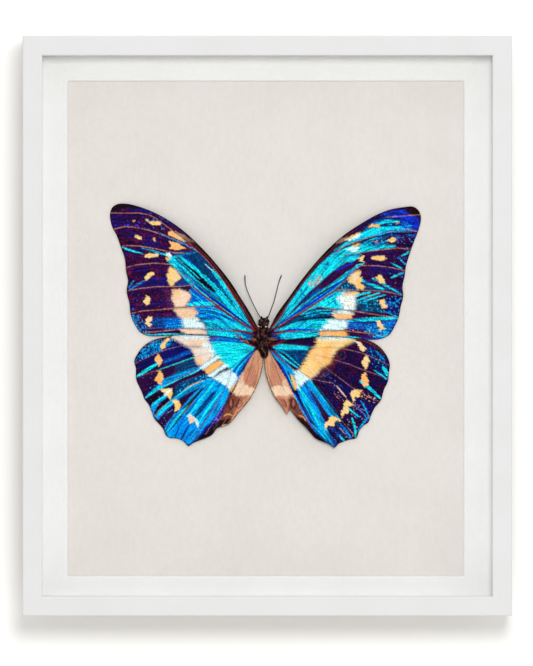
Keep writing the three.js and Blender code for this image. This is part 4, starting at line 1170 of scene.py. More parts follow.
rightHindwing["marks"] = [
    ("pink", 1, [(353, 340), (360, 342), (364, 346), (366.3, 349), (363, 352), (360, 349), (358, 344)]),
    ("cream", 0.9, [(360, 344.5), (365.5, 348), (363, 352), (360.5, 349)]),
    ("cream", 1, [(366.5, 354.6), (369.7, 360.5), (367.5, 366), (365.5, 370), (361.7, 363), (363.5, 359)]),
    ("orange", 1, [(366.7, 372.3), (362.5, 374), (360.8, 379), (362, 382), (365, 388), (368, 384),
     (368, 379), (366, 376)]),
    ("cream", 1, [(351.5, 391), (355, 389.3), (363, 390.3), (360, 393), (359.5, 397), (355, 397.3),
     (354, 402.5), (352, 398), (350.8, 394)]),
    ("cream", 1, [(346.5, 400), (343.5, 405), (344, 408), (341.3, 412), (342, 418.5), (344.5, 414),
     (349, 412.8), (348, 406.5), (354.5, 405.3), (350, 402)]),
    ("cream", 1, [(333, 416.2), (340.5, 420), (341.5, 421.5), (336.5, 422.5), (333, 426.3), (329, 426),
     (325, 429.5), (325, 424), (329, 419)]),
    ("teal", 0.9, [(335.5, 421), (339, 421), (339.5, 424), (336, 424.3)]),
]
rightHindwing["inner"] = [
    ("bark", 0.8, 1.6, [(266, 342), (272.5, 344.5), (271, 352), (266, 353)]),
    ("fawn", 1, 0.8, [(269, 350.5), (279, 367), (287, 380), (292, 391), (297, 402), (303, 415), (311, 427),
     (306, 433), (284, 417), (266, 389), (260, 362), (266, 350)]),
    ("rose", 0.6, 1.4, [(271, 358), (277, 366), (283, 378), (282, 386), (271, 388), (270, 374)]),
    ("pink", 0.4, 1, [(284, 378), (288, 384), (290, 392), (286, 394), (282, 386)]),
    ("buff", 0.97, 1, [(270, 388.5), (280, 385), (290, 388), (293, 394), (283, 396), (275, 395.5)]),
    ("brick", 0.92, 1.4, [(288, 398), (292, 397), (296, 400), (304, 414), (312, 427), (318, 438),
     (308, 432), (298, 420), (291, 409), (287, 410)]),
    ("tan", 0.85, 1.4, [(274, 396), (284, 397), (290, 403), (287, 414), (280, 405)]),
    ("brick", 0.45, 1.2, [(279, 399), (285, 400), (287, 408), (284, 408)]),
    ("ink", 0.92, 1.2, [(297, 417), (304, 419), (313, 429), (322, 437), (331, 445), (322, 444), (308, 433),
     (298, 422)]),
]
rightHindwing["cords"] = [
    (1.2, [(270, 345.5), (276, 344.5), (280, 341.8), (286, 341)]),
    (0.8, [(270.5, 349.5), (276, 354), (284, 361)]),
]
rightHindwing["details"] = [
    ("bark", 0.85, 1.2, [(293.5, 398.5), (296.3, 401.5), (296.3, 406), (293.5, 408.5), (290.8, 405.5),
     (291, 401), (293.5, 398.5)]),
    ("rose", 0.9, 1.6, [(293.5, 401.5), (293.5, 405.5)]),
    ("bark", 0.7, 0.9, [(283, 400), (286, 403), (286, 408)]),
    ("orange", 0.7, 1.2, [(298, 415), (303, 417), (306, 421)]),
    ("buff", 0.7, 0.9, [(301, 423), (308, 430)]),
    ("ink", 0.95, 8, [(340.4, 354.3), (341.6, 354.7)]),
    ("teal", 0.75, 4, [(340.6, 354.4), (341.4, 354.6)]),
    ("plum", 0.9, 0.9, [(341, 349.8), (345, 352), (345.6, 356.5), (341, 359.4), (337, 357), (336.6, 352.5),
     (341, 349.8)]),
    ("umber", 0.5, 0.8, [(270, 353), (276, 368), (284, 390)]),
    ("umber", 0.5, 0.8, [(266.5, 357), (268.5, 374), (274, 390)]),
]


def setPaint(piece, paint):
    layer = piece.data.color_attributes.new("paint", "FLOAT_COLOR", "POINT")
    layer.data.foreach_set("color", np.hstack([paint, np.ones((len(paint), 1))]).astype(np.float32).ravel())


def lay(colour, mask, shade, where=slice(None)):
    colour[where] += (np.array(linear(shade)) - colour[where]) * mask[:, None]


def cellPlace(plan, guides):
    # the cell between two guide lines a point is in, how far across it, and which way it runs
    turn = 1 if guides[0][-1][0] < guides[0][0][0] else -1
    found = [nearPath(plan, guide) for guide in guides]
    gaps = np.array([-near["gap"] * near["side"] * turn for near in found])
    count = len(plan)
    cell = {
        "across": np.zeros(count),
        "width": np.ones(count),
        "upper": np.zeros(count),
        "flow": found[0]["heading"].copy(),
        "gaps": np.abs(gaps),
    }
    for i in range(len(guides) - 1):
        within = np.flatnonzero((gaps[i] >= 0) & (gaps[i + 1] < 0))
        span = np.maximum(gaps[i] - gaps[i + 1], 1e-6)[within]
        part = gaps[i][within] / span
        cell["across"][within] = i + part
        cell["width"][within] = span
        cell["upper"][within] = gaps[i][within] + wingSheet["cellStep"] * i
        first = found[i]["heading"][within]
        second = found[i + 1]["heading"][within]
        cell["flow"][within] = first * (1 - part)[:, None] + second * part[:, None]
    last = np.flatnonzero(gaps[-1] >= 0)
    cell["across"][last] = len(guides) - 1
    cell["flow"][last] = found[-1]["heading"][last]
    return cell


def wingGrid(outline):
    loop = curveThrough(outline, True, wingSheet["marginSteps"])
    step = wingSheet["step"] * mm / specimen["pixel"]
    low = loop.min(0) - step
    high = loop.max(0) + step
    count = np.ceil((high - low) / step).astype(int)
    bm = bmesh.new()
    bmesh.ops.create_grid(bm, x_segments=int(count[0]), y_segments=int(count[1]), size=0.5)
    span = count * step
    bmesh.ops.scale(bm, vec=(span[0], span[1], 1), verts=bm.verts)
    bmesh.ops.translate(bm, vec=(*(low + span / 2), 0), verts=bm.verts)
    middles = np.array([face.calc_center_median()[:2] for face in bm.faces])
    depth = insideOf(middles, loop)
    outside = [face for face, d in zip(bm.faces, depth) if d < 0]
    bmesh.ops.delete(bm, geom=outside, context="FACES")
    rim = [vert for vert in bm.verts if vert.is_boundary]
    nearest = nearPath(np.array([vert.co[:2] for vert in rim]), np.vstack([loop, loop[:1]]))["nearest"]
    for vert, spot in zip(rim, nearest):
        vert.co.xy = spot
    return bm, loop


def paintWing(wing, plan, loop, cell):
    x, y = plan.T
    seed = 10.5 + 3.7 * len(wing["marks"])
    upper = cell["upper"]
    reach = np.linalg.norm(plan - np.array(wing["root"]), axis=1)
    thin = waves(upper / 1.35, reach / 24, seed)
    broad = waves(upper / 3.7, reach / 40, seed + 5)
    rows = waves(reach / 1.5, upper / 5, seed + 10)
    speck = waves(x / 1.3, y / 1.3, seed + 15)
    patch = waves(x / 7, y / 7, seed + 20)
    dust = waves(x / 1.7 + 40, y / 1.7, seed + 25)
    hair = waves(upper / 1.1, reach / 20, seed + 30)
    grit = waves(x / 1.05, y / 1.05, seed + 35)
    comb = 1.2 * thin + 0.9 * broad + 0.5 * speck
    feathered = plan + cell["flow"] * (comb * 2.4)[:, None]
    frayed = plan + cell["flow"] * (comb * wing["fray"])[:, None] + np.stack([speck, dust], 1) * 0.8

    def fill(layers, spots, blur=1):
        for shade, strength, soft, corners in layers:
            soft *= blur
            where = closeTo(plan, corners, soft + 5)
            depth = insideOf(spots[where], corners)
            lay(colour, strength * smoothStep(-soft, soft, depth), shade, where)

    def draw(strokes):
        for shade, strength, wide, path in strokes:
            line = curveThrough(path, False, 6)
            where = closeTo(plan, line, wide + 3)
            near = nearPath(plan[where] + 0.3 * (feathered - plan)[where], line)
            half = 0.5 * wide * (0.35 + 0.65 * np.sin(np.pi * np.clip(near["along"], 0.02, 0.98)) ** 0.5)
            half = half * (1 + 0.6 * speck[where])
            lay(colour, strength * smoothStep(0.35, -0.35, near["gap"] - half), shade, where)

    # the ground, areas, flecks and strokes lay the blues: the scales' colour with painted sheen in it
    colour = np.tile(np.array(linear(wing["ground"])), (len(plan), 1))
    lay(colour, 0.6 * smoothStep(0.05, 0.4, 0.7 * speck + 0.4 * thin + 0.6 * patch), "night")
    lay(colour, 0.6 * smoothStep(0.05, 0.35, 0.7 * rows - 0.5 * thin), "ink")
    lay(colour, wing["wine"] * smoothStep(0.1, 0.35, 0.8 * dust - 0.5 * patch), "wine")
    fill(wing["areas"], feathered)
    for shade, start, corners in wing["flecks"]:
        where = closeTo(plan, corners, 6)
        depth = insideOf(feathered[where], corners)
        mark = (0.5 * thin + 0.65 * speck + 0.45 * rows)[where]
        lay(colour, 0.95 * smoothStep(-1.5, 1.5, depth) * smoothStep(start, start + 0.2, mark), shade, where)
    draw(wing["strokes"])

    blue = wing["lines"] * smoothStep(0.04, 0.16, colour[:, 1]) * smoothStep(0.5, 0.25, colour[:, 0])
    lay(colour, blue * smoothStep(0.06, 0.32, thin + 0.4 * rows + 0.2 * broad), "deep")
    lay(colour, 0.9 * blue * smoothStep(0.1, 0.4, -thin + 0.4 * speck), "cyan")
    lay(colour, 0.6 * blue * smoothStep(0.08, 0.35, rows + 0.5 * dust), "azure")
    lay(colour, 0.9 * blue * smoothStep(0.15, 0.36, speck + 0.4 * rows), "night")

    fill(wing["bands"], frayed, 1.5)
    fill([(shade, strength, 0.55, corners) for shade, strength, corners in wing["marks"]], frayed)
    warm = smoothStep(0.3, 0.6, colour[:, 0]) * smoothStep(0.02, 0.2, colour[:, 0] - colour[:, 2])
    lay(colour, 0.35 * warm * smoothStep(0.05, 0.4, patch + 0.6 * dust), "gold")
    lay(colour, 0.35 * warm * smoothStep(0.05, 0.4, -patch + 0.6 * speck), "pink")
    lay(colour, 0.2 * warm * smoothStep(0.12, 0.4, thin + 0.4 * rows), "tan")
    fill(wing["inner"], frayed)

    # veins: tan over dark scales, dark red over bright ones and near the root
    dark = smoothStep(0.25, 0.06, colour @ np.array([0.3, 0.6, 0.1])) * smoothStep(25, 70, reach)
    for i, gap in enumerate(cell["gaps"][1:-1], 1):
        seen = smoothStep(0.0, 8.0, reach - wing["hidden"].get(i, 0))
        line = seen * smoothStep(0.75, 0.2, gap) * (0.35 + 0.4 * wing["costa"] * smoothStep(20, 75, reach))
        line = np.clip(line * (0.85 + 0.6 * patch + 0.7 * speck), 0, 1)
        lay(colour, line * dark, "tan")
        lay(colour, 0.8 * line * (1 - dark), wing["veins"])
    for wide, path in wing["cords"]:
        draw([("ink", 0.75, wide + 1, path), ("blood", 0.95, wide, path)])
    draw(wing["details"])
    edge = cell["gaps"][0]
    fade = wing["costa"] * smoothStep(150, 95, reach) * (cell["across"] < 1)
    lay(colour, fade * 0.95, "bark")
    for middle, half, shade in wingSheet["costaLines"]:
        drift = middle + 0.5 * broad
        lay(colour, fade * 0.95 * smoothStep(half + 0.2, half - 0.2, abs(edge - drift)), shade)
    edge = nearPath(plan, np.vstack([loop, loop[:1]]))["gap"]
    lay(colour, 0.9 * smoothStep(1.1, 0.3, edge + 0.9 * speck), "bark")

    # scale by scale: darks sparkle most, pale marks least
    bright = colour @ np.array([0.3, 0.55, 0.15])
    warm = smoothStep(0.02, 0.15, colour[:, 0] - colour[:, 2])
    depth = np.interp(bright, [0.02, 0.12, 0.4, 0.8], wingSheet["sparkle"]) * (1 - 0.75 * warm)
    blue = smoothStep(0.1, 0.4, colour[:, 2] - colour[:, 0]) * smoothStep(0.5, 0.2, colour[:, 0])
    colour *= 1 - (0.7 * blue * smoothStep(0.24, 0.38, hair + 0.35 * thin + 0.25 * grit))[:, None]
    glint = np.exp(depth * (2.2 * speck + 1.4 * thin + 1.2 * rows + 1.2 * hair + 2.4 * grit))
    colour *= np.minimum(glint, 1.4 / np.maximum(colour.max(1), 0.01))[:, None]
    tint = smoothStep(0.2, 0.02, bright) * 0.9 * dust
    colour[:, 0] *= np.exp(tint)
    colour[:, 2] *= np.exp(-0.5 * tint)
    return np.clip(colour, 0, 1)


def wingMaterial():
    finish = Finish("wingScales")
    paint = finish.node("ShaderNodeAttribute", {"attribute_name": "paint"})
    flow = finish.node("ShaderNodeAttribute", {"attribute_name": "flow"}, output="Vector")
    along = finish.node("ShaderNodeMapping", None, {"Vector": flow, "Scale": wingSheet["streak"]})
    streak = finish.speckle(along, 1.0, 2, 0.6)
    grain = finish.speckle(finish.place(), wingSheet["scaleGrain"], 2, 0.6)
    light = finish.ramp(streak * 0.6 + grain * 0.4, [(0.36, 0.38), (0.46, 0.92), (0.52, 1.08), (0.62, 1.36)])
    red = finish.node("ShaderNodeSeparateColor", None, {"Color": paint}, output="Red")
    return finish.surface(
        Base_Color=finish.mix(1 - 0.72 * red ** 0.5, paint, light, "MULTIPLY"),
        Roughness=0.45 + 0.25 * grain,
        Specular_IOR_Level=0.03,
        Normal=finish.bump(streak, 0.12, 0.00008),
    )


wingScales = wingMaterial()


def makeWing(wing):
    bm, loop = wingGrid(wing["outline"])
    plan = np.array([vert.co[:2] for vert in bm.verts])
    cell = cellPlace(plan, wing["guides"])
    paint = paintWing(wing, plan, loop, cell)
    fold = np.minimum(cell["width"] * wingSheet["pleat"], wingSheet["pleatMost"])
    fold = fold * np.cos(2 * np.pi * cell["across"])
    vein = wingSheet["veinRise"] * np.exp(-((cell["gaps"][1:-1].min(0) / 0.7) ** 2))
    behind = cell["across"] / (len(wing["guides"]) - 1)
    out = abs(plan[:, 0] - specimen["thorax"][0]) * specimen["pixel"] / specimen["halfSpan"]
    front = wing["leading"] * (1 - behind) ** 2
    front = front * smoothStep(*wingSheet["frontStarts"], out) * smoothStep(*wingSheet["frontEnds"], out)
    inside = wing["inside"] * behind ** wingSheet["insidePower"]
    inside = inside * smoothStep(*wingSheet["insideStarts"], plan[:, 1] - wing["root"][1])
    for vert, (px, py), lift in zip(bm.verts, plan, fold + vein + front + inside):
        x, z = inPlan(px, py)
        reach = min(1, abs(x - specimen["x"]) / specimen["halfSpan"])
        height = wing["tip"] + wing["rise"] * (1 - reach) ** specimen["droop"] + lift
        vert.co = (x, paperY - height, z)
    bmesh.ops.recalc_face_normals(bm, faces=bm.faces)
    facing = sum(face.normal.y for face in bm.faces)
    if facing > 0:
        bmesh.ops.reverse_faces(bm, faces=bm.faces)
    piece = newPiece(wing["name"] + "_scaled", bm, [wingScales], [wing["name"]])
    setPaint(piece, paint)
    fromRoot = np.linalg.norm(plan - np.array(wing["root"]), axis=1)
    lines = np.stack([cell["upper"], fromRoot, np.zeros(len(plan))], 1)
    layer = piece.data.attributes.new("flow", "FLOAT_VECTOR", "POINT")
    layer.data.foreach_set("vector", lines.astype(np.float32).ravel())
    shell = piece.modifiers.new("thickness", "SOLIDIFY")
    shell.thickness = wingSheet["thickness"]
    shell.offset = -1
    print("wing", wing["name"], len(piece.data.polygons))


for wing in (leftHindwing, rightHindwing, leftForewing, rightForewing):
    makeWing(wing)

# Body: rings along the midline, then fur
bodyRings = {
    "segments": 28,
    # row and column of the photograph, half width in pixels, depth over width, height of the middle
    "rings": [
        (317.6, 264.2, 1.2, 1.0, 4.4), (318.6, 264.2, 3.4, 0.95, 4.4), (320.3, 263.9, 4.8, 0.9, 4.3),
        (322.5, 263.7, 5.3, 0.9, 4.2), (324.6, 263.6, 4.9, 0.9, 4.2), (326.0, 263.4, 4.2, 1.0, 4.1),
        (327.2, 263.3, 5.0, 1.0, 4.0), (329.0, 263.2, 5.9, 1.05, 3.9), (332.0, 262.8, 6.1, 1.1, 3.8),
        (336.0, 262.6, 6.1, 1.12, 3.75), (340.0, 262.6, 6.0, 1.1, 3.7), (343.5, 263.0, 5.6, 1.02, 3.5),
        (345.5, 263.1, 5.5, 0.95, 3.3), (348.0, 263.3, 5.3, 0.9, 3.2), (350.2, 263.6, 4.8, 0.9, 3.2),
        (352.0, 264.2, 4.1, 0.9, 3.2), (354.0, 264.4, 3.7, 0.9, 3.2), (355.6, 264.4, 3.1, 0.9, 3.2),
        (356.8, 264.3, 2.2, 0.9, 3.2), (357.6, 264.2, 1.0, 0.9, 3.2),
    ],
    "lump": 0.3 * mm,
    "lumpSize": 0.9 * mm,
}


def ringTube(bm, rings, segments):
    # rings: (centre, across, deep), each a vector; the first loop is extruded from ring to ring
    def frameOf(ring):
        centre, across, deep = ring
        normal = across.cross(deep).normalized()
        made = Matrix((across, deep, normal)).transposed().to_4x4()
        made.translation = centre
        return made

    start = bmesh.ops.create_circle(
        bm, cap_ends=True, radius=1, segments=segments, matrix=frameOf(rings[0])
    )["verts"]
    edges = [edge for edge in bm.edges if edge.verts[0] in start and edge.verts[1] in start]
    for before, after in zip(rings, rings[1:]):
        grown = bmesh.ops.extrude_edge_only(bm, edges=edges)["geom"]
        moved = [item for item in grown if isinstance(item, bmesh.types.BMVert)]
        edges = [item for item in grown if isinstance(item, bmesh.types.BMEdge)]
        bmesh.ops.transform(bm, matrix=frameOf(after) @ frameOf(before).inverted(), verts=moved)
    bmesh.ops.contextual_create(bm, geom=edges)


def bodyRing(ring):
    row, column, half, ratio, height = ring
    centre = atPixel(column, row, height * mm)
    wide = half * specimen["pixel"]
    return centre, Vector((wide, 0, 0)), Vector((0, wide * ratio, 0))


def furMaterial(name, dark, light, rough):
    finish = Finish(name)
    strand = finish.speckle(finish.place((1, 1, 0.4)), 2400, 3, 0.6)
    clump = finish.speckle(finish.place((1, 1, 0.6)), 1150, 3)
    mask = finish.ramp(strand * 0.35 + clump * 0.65, [(0.44, 0), (0.62, 1)])
    return finish.surface(
        Base_Color=finish.mix(mask, rgba(dark), rgba(light)),
        Roughness=rough + 0.2 * strand,
        Specular_IOR_Level=0.1,
        Normal=finish.bump(strand, 0.4, 0.0001),
    )


def paintedFur():
    finish = Finish("bodyFur")
    paint = finish.node("ShaderNodeAttribute", {"attribute_name": "paint"})
    strand = finish.speckle(finish.place((1, 1, 0.5)), 2600, 3, 0.6)
    light = finish.ramp(strand, [(0.36, 0.3), (0.5, 0.8), (0.64, 1.5)])
    return finish.surface(
        Base_Color=finish.mix(1.0, paint, light, "MULTIPLY"),
        Roughness=0.5 + 0.2 * strand,
        Specular_IOR_Level=0.06,
        Normal=finish.bump(strand, 0.4, 0.0001),
    )


bodyFur = paintedFur()
rootFur = furMaterial("rootTuft", (176, 92, 44), (244, 188, 112), 0.55)
redFur = furMaterial("redTuft", (70, 12, 8), (150, 40, 20), 0.55)
paleFur = furMaterial("paleTuft", (244, 214, 176), (252, 240, 220), 0.6)
hornSkin = furMaterial("hornSkin", (10, 6, 12), (34, 26, 34), 0.45)
eyeSkin = furMaterial("eyeSkin", (22, 12, 10), (48, 26, 18), 0.15)

# marks on the body: shade, strength, width and path
bodyMarks = [
    ("jet", 1, 12, [(263.8, 319), (263.8, 324)]),
    ("umber", 0.85, 2, [(259, 320), (258.6, 324)]),
    ("umber", 0.7, 1.6, [(269, 321), (269, 324)]),
    ("dove", 1, 1.6, [(261.6, 320.3), (262.4, 320.5)]),
    ("dove", 1, 1.6, [(265.1, 320.3), (265.9, 320.5)]),
    ("dove", 1, 1.6, [(261.4, 323.5), (262.2, 323.7)]),
    ("dove", 1, 1.7, [(265.5, 323.7), (266.5, 323.9)]),
    ("maroon", 0.6, 4.4, [(263.2, 330.5), (263.2, 335)]),
    ("umber", 0.6, 2, [(263.6, 329), (263.8, 331)]),
    ("dove", 0.9, 1.2, [(258.6, 327.5), (258.5, 336)]),
    ("umber", 0.8, 1.3, [(268.2, 328), (268.4, 336)]),
    ("jet", 0.95, 1.3, [(257.1, 327.5), (257, 334)]),
    ("jet", 0.95, 1.2, [(260, 327.5), (259.6, 337.5)]),
    ("jet", 0.95, 1.5, [(266.5, 327.5), (266.7, 337), (267.2, 341)]),
    ("jet", 0.95, 1.3, [(269.8, 327.5), (270, 333)]),
    ("jet", 0.7, 4, [(262, 338.5), (266, 338)]),
    ("dove", 0.6, 1, [(266.2, 338.5), (266.4, 341.5)]),
    ("dove", 0.6, 1, [(261.5, 343), (262, 346)]),
    ("dove", 0.55, 1, [(265.5, 343), (265.8, 346)]),
    ("jet", 0.85, 2.4, [(258.5, 346.5), (260.5, 350)]),
    ("jet", 0.85, 1.8, [(266.8, 346), (267.4, 350.5)]),
    ("dove", 0.7, 1.6, [(262, 348.5), (262.8, 350.5)]),
    ("jet", 0.8, 1.8, [(261, 352.5), (263, 352.8)]),
    ("dove", 0.5, 1.4, [(264.4, 352), (265.2, 353)]),
    ("brick", 0.8, 2, [(261.8, 355.5), (265.5, 357.5)]),
    ("dove", 0.6, 1.2, [(266, 356.3), (266.8, 356.6)]),
]


def paintBody(piece):
    at = np.array([vert.co for vert in piece.data.vertices])
    px = specimen["thorax"][0] + (at[:, 0] - specimen["x"]) / specimen["pixel"]
    py = specimen["thorax"][1] - (at[:, 2] - specimen["z"]) / specimen["pixel"]
    plan = np.stack([px, py], 1)
    clump = waves(px / 2.0, py / 2.6, 3.5)
    fleck = waves(px / 1.2, py / 1.4, 8.5)
    colour = np.tile(np.array(linear("bark")), (len(plan), 1))
    lay(colour, 0.6 * smoothStep(0.0, 0.35, clump), "umber")
    for shade, strength, wide, path in bodyMarks:
        near = nearPath(plan, path)
        lay(colour, strength * smoothStep(0.5, -0.5, near["gap"] + 0.8 * fleck - wide / 2), shade)
    lay(colour, 0.5 * smoothStep(0.26, 0.44, fleck - 0.3 * clump), "dove")
    lay(colour, 0.9 * smoothStep(0.02, 0.25, -fleck - 0.4 * clump), "jet")
    setPaint(piece, colour)


bm = bmesh.new()
ringTube(bm, [bodyRing(ring) for ring in bodyRings["rings"]], bodyRings["segments"])
bmesh.ops.subdivide_edges(bm, edges=bm.edges, cuts=1, use_grid_fill=True)
bmesh.ops.recalc_face_normals(bm, faces=bm.faces)
for vert in bm.verts:
    vert.co += vert.normal * bodyRings["lump"] * noise.noise(vert.co / bodyRings["lumpSize"])
bodyPiece = newPiece("body_skin", bm, [bodyFur], ["butterfly_body"])
paintBody(bodyPiece)
rounding = bodyPiece.modifiers.new("rounding", "SUBSURF")
rounding.levels = rounding.render_levels = 1

fur = {
    "hairs": 6500,
    "length": 0.55 * mm,
    "radius": 0.065 * mm,
    "point": 0.1,
    "rows": (318.4, 357.4),
    "inset": 0.9,
    "handful": 60,
    "seed": 11,
}


def furRing(place):
    # a point on the midline, by interpolating the body's rings
    rings = bodyRings["rings"]
    for first, second in zip(rings, rings[1:]):
        if place <= second[0]:
            t = (place - first[0]) / (second[0] - first[0])
            return [a + (b - a) * t for a, b in zip(first, second)]
    return rings[-1]


def growHairs(hairs):
    # hairs: (root, way, length, radius); by the handful, since an operator slows down on a large mesh
    whole = bmesh.new()
    handful = bpy.data.meshes.new("handful")
    for start in range(0, len(hairs), fur["handful"]):
        bm = bmesh.new()
        for root, way, length, radius in hairs[start:start + fur["handful"]]:
            turn = Vector((0, 0, 1)).rotation_difference(way).to_matrix().to_4x4()
            turn.translation = root + way * length / 2
            ends = {"radius1": radius, "radius2": radius * fur["point"]}
            bmesh.ops.create_cone(bm, cap_ends=False, segments=3, depth=length, matrix=turn, **ends)
        bm.to_mesh(handful)
        bm.free()
        whole.from_mesh(handful)
    bpy.data.meshes.remove(handful)
    return whole


def bodyHairs():
    rng = random.Random(fur["seed"])
    hairs = []
    for _ in range(fur["hairs"]):
        row = rng.uniform(*fur["rows"])
        angle = rng.uniform(0, 2 * math.pi)
        _, column, half, ratio, height = furRing(row)
        wide = half * specimen["pixel"] * fur["inset"]
        out = Vector((math.cos(angle), math.sin(angle), 0))
        root = atPixel(column, row, height * mm)
        root += Vector((out.x * wide, out.y * wide * ratio, 0))
        lean = Vector((rng.uniform(-0.4, 0.4), rng.uniform(-0.3, 0.3), -1.3 + rng.uniform(-0.5, 0.4)))
        way = (out * 0.8 + lean * 0.75).normalized()
        length = fur["length"] * rng.uniform(0.5, 1.15)
        hairs.append((root, way, length, fur["radius"] * rng.uniform(0.6, 1.2)))
    return growHairs(hairs)


paintBody(newPiece("body_fur", bodyHairs(), [bodyFur]))


def tuft(name, px, py, height, spread, count, length, material, seed):
    rng = random.Random(seed)
    hairs = []
    for _ in range(count):
        root = atPixel(px + rng.gauss(0, spread[0]), py + rng.gauss(0, spread[1]), height * mm)
        root.y += rng.uniform(-0.3, 0.3) * mm
        way = Vector((rng.uniform(-0.8, 0.8), -0.9, rng.uniform(-1.2, 0.1))).normalized()
        hairs.append((root, way, length * mm * rng.uniform(0.6, 1.1), fur["radius"]))
    newPiece(name, growHairs(hairs), [material])


tufts = {
    # column and row of the photograph, height, spread, hairs, their length, fur and seed
    "root_tuft_left": (253.4, 339.2, 3.2, (1.5, 0.6), 150, 0.8, rootFur, 21),
    "root_tuft_right": (272.0, 339.0, 3.2, (1.8, 0.6), 170, 0.8, rootFur, 22),
    "red_tuft_left": (254.2, 341.6, 3.1, (1.4, 0.8), 140, 0.7, redFur, 23),
    "red_tuft_right": (271.2, 342.0, 3.1, (1.5, 0.9), 150, 0.7, redFur, 24),
    "collar_tuft_0": (258.8, 326.3, 6.3, (0.4, 0.25), 130, 0.3, paleFur, 30),
    "collar_tuft_1": (261.3, 326.6, 6.3, (0.15, 0.25), 25, 0.3, paleFur, 31),
    "collar_tuft_2": (266.0, 326.5, 6.3, (0.35, 0.25), 80, 0.3, paleFur, 32),
}
for name, setting in tufts.items():
    tuft(name, *setting)

# Eyes and palps
headParts = {
    "eyes": [(260.4, 321.3), (267.6, 321.3)],
    "eyeRadius": 0.9 * mm,
    "eyeHeight": 4.7 * mm,
    "palps": [(261.6, 318.4), (267.1, 318.4)],
    "palpHeight": 4.6 * mm,
    # rows of the photograph from a palp's middle to its tip and to its foot
    "palpReach": (-2.2, 1.5),
    # place from foot to tip, and radius in millimetres
    "palpRings": [(0, 0.3), (0.3, 0.5), (0.65, 0.48), (0.9, 0.3), (1, 0.12)],
    "palpSides": 10,
}
for side, (px, py) in zip(("left", "right"), headParts["eyes"]):
    bm = bmesh.new()
    place = Matrix.Translation(atPixel(px, py, headParts["eyeHeight"]))
    bmesh.ops.create_icosphere(bm, subdivisions=3, radius=headParts["eyeRadius"], matrix=place)
    newPiece(f"eye_{side}", bm, [eyeSkin])
for side, (px, py) in zip(("left", "right"), headParts["palps"]):
    bm = bmesh.new()
    tip, foot = [atPixel(px, py + reach, headParts["palpHeight"]) for reach in headParts["palpReach"]]
    rings = []
    for t, radius in headParts["palpRings"]:
        rings.append((foot.lerp(tip, t), Vector((radius * mm, 0, 0)), Vector((0, radius * mm, 0))))
    ringTube(bm, rings, headParts["palpSides"])
    bmesh.ops.recalc_face_normals(bm, faces=bm.faces)
    paintBody(newPiece(f"palp_{side}", bm, [bodyFur]))

# Antennae and legs: tubes with rings, the antennae ending in a club
antennae = {
    "left": [
        (260.8, 317.8), (259.4, 315.8), (255, 307.5), (250, 297), (246.5, 288), (245.3, 282), (245, 275),
    ],
    "right": [
        (267.8, 317.8), (268.9, 315.6), (271, 310), (274.5, 300), (277, 290), (279, 282), (281.7, 275),
    ],
    "heights": [4.6, 4.6, 4.5, 4.3, 4.0, 3.8, 3.6],
    "radius": 0.18 * mm,
    "club": 0.26 * mm,
    "clubAt": 0.93,
    "clubLength": 0.08,
    "joints": 44,
    "jointDepth": 0.12,
    "endTaper": 0.35,
    "sides": 8,
}


def tubeAlong(bm, points, radii, segments):
    rings = []
    for i, (point, radius) in enumerate(zip(points, radii)):
        way = (points[min(i + 1, len(points) - 1)] - points[max(i - 1, 0)]).normalized()
        across = way.cross(Vector((0, 1, 0))).normalized()
        deep = way.cross(across).normalized()
        rings.append((point, across * radius, deep * radius))
    ringTube(bm, rings, segments)


for side in ("left", "right"):
    knots = [(px, py, h) for (px, py), h in zip(antennae[side], antennae["heights"])]
    line = curveThrough(knots, False, 16)
    points = [atPixel(px, py, h * mm) for px, py, h in line]
    radii = []
    for i in range(len(points)):
        t = i / (len(points) - 1)
        ringing = 1 + antennae["jointDepth"] * math.cos(2 * math.pi * antennae["joints"] * t)
        club = math.exp(-(((t - antennae["clubAt"]) / antennae["clubLength"]) ** 2))
        end = antennae["endTaper"] if i == len(points) - 1 else 1
        radii.append((antennae["radius"] * ringing + (antennae["club"] - antennae["radius"]) * club) * end)
    bm = bmesh.new()
    tubeAlong(bm, points, radii, antennae["sides"])
    bmesh.ops.recalc_face_normals(bm, faces=bm.faces)
    newPiece(f"antenna_{side}_ringed", bm, [hornSkin], [f"antenna_{side}"])

legs = {
    # hip, knee and foot along the body, in millimetres from the pin
    "middle": (1.4, 3.0, -0.5),
    "hind": (-0.8, -2.4, -5.4),
    # distance from the midline and height over the paper, from hip to foot
    "bends": [(0.9, 1.8), (2.9, 1.5), (4.4, 1.3), (4.9, 0.8), (4.6, 0.55)],
    "radius": 0.19 * mm,
    "taper": (1.15, 0.5),
    "sides": 7,
}
for name in ("middle", "hind"):
    hip, knee, foot = legs[name]
    rows = [hip, (hip + knee) / 2, knee, (knee + foot) / 2, foot]
    for side, hand in (("left", -1), ("right", 1)):
        path = [(*bend, row) for bend, row in zip(legs["bends"], rows)]
        points = []
        for x, height, z in curveThrough(path, False, 6) * mm:
            points.append(Vector((specimen["x"] + hand * x, paperY - height, specimen["z"] + z)))
        thick, thinner = legs["taper"]
        radii = [legs["radius"] * (thick - thinner * i / len(points)) for i in range(len(points))]
        bm = bmesh.new()
        tubeAlong(bm, points, radii, legs["sides"])
        bmesh.ops.recalc_face_normals(bm, faces=bm.faces)
        newPiece(f"leg_{name}_{side}", bm, [hornSkin])
print("butterfly done")

# Stage: a white wall and a pale floor far below, each clear from its back, and soft light
low, high = cadBox
middle = (low + high) / 2
stage = {
    "wall": (253, 253, 251),
    "floor": (226, 224, 220),
    "wallGap": 0.01,
    "floorDrop": 0.5,
    "half": 2.5,
}


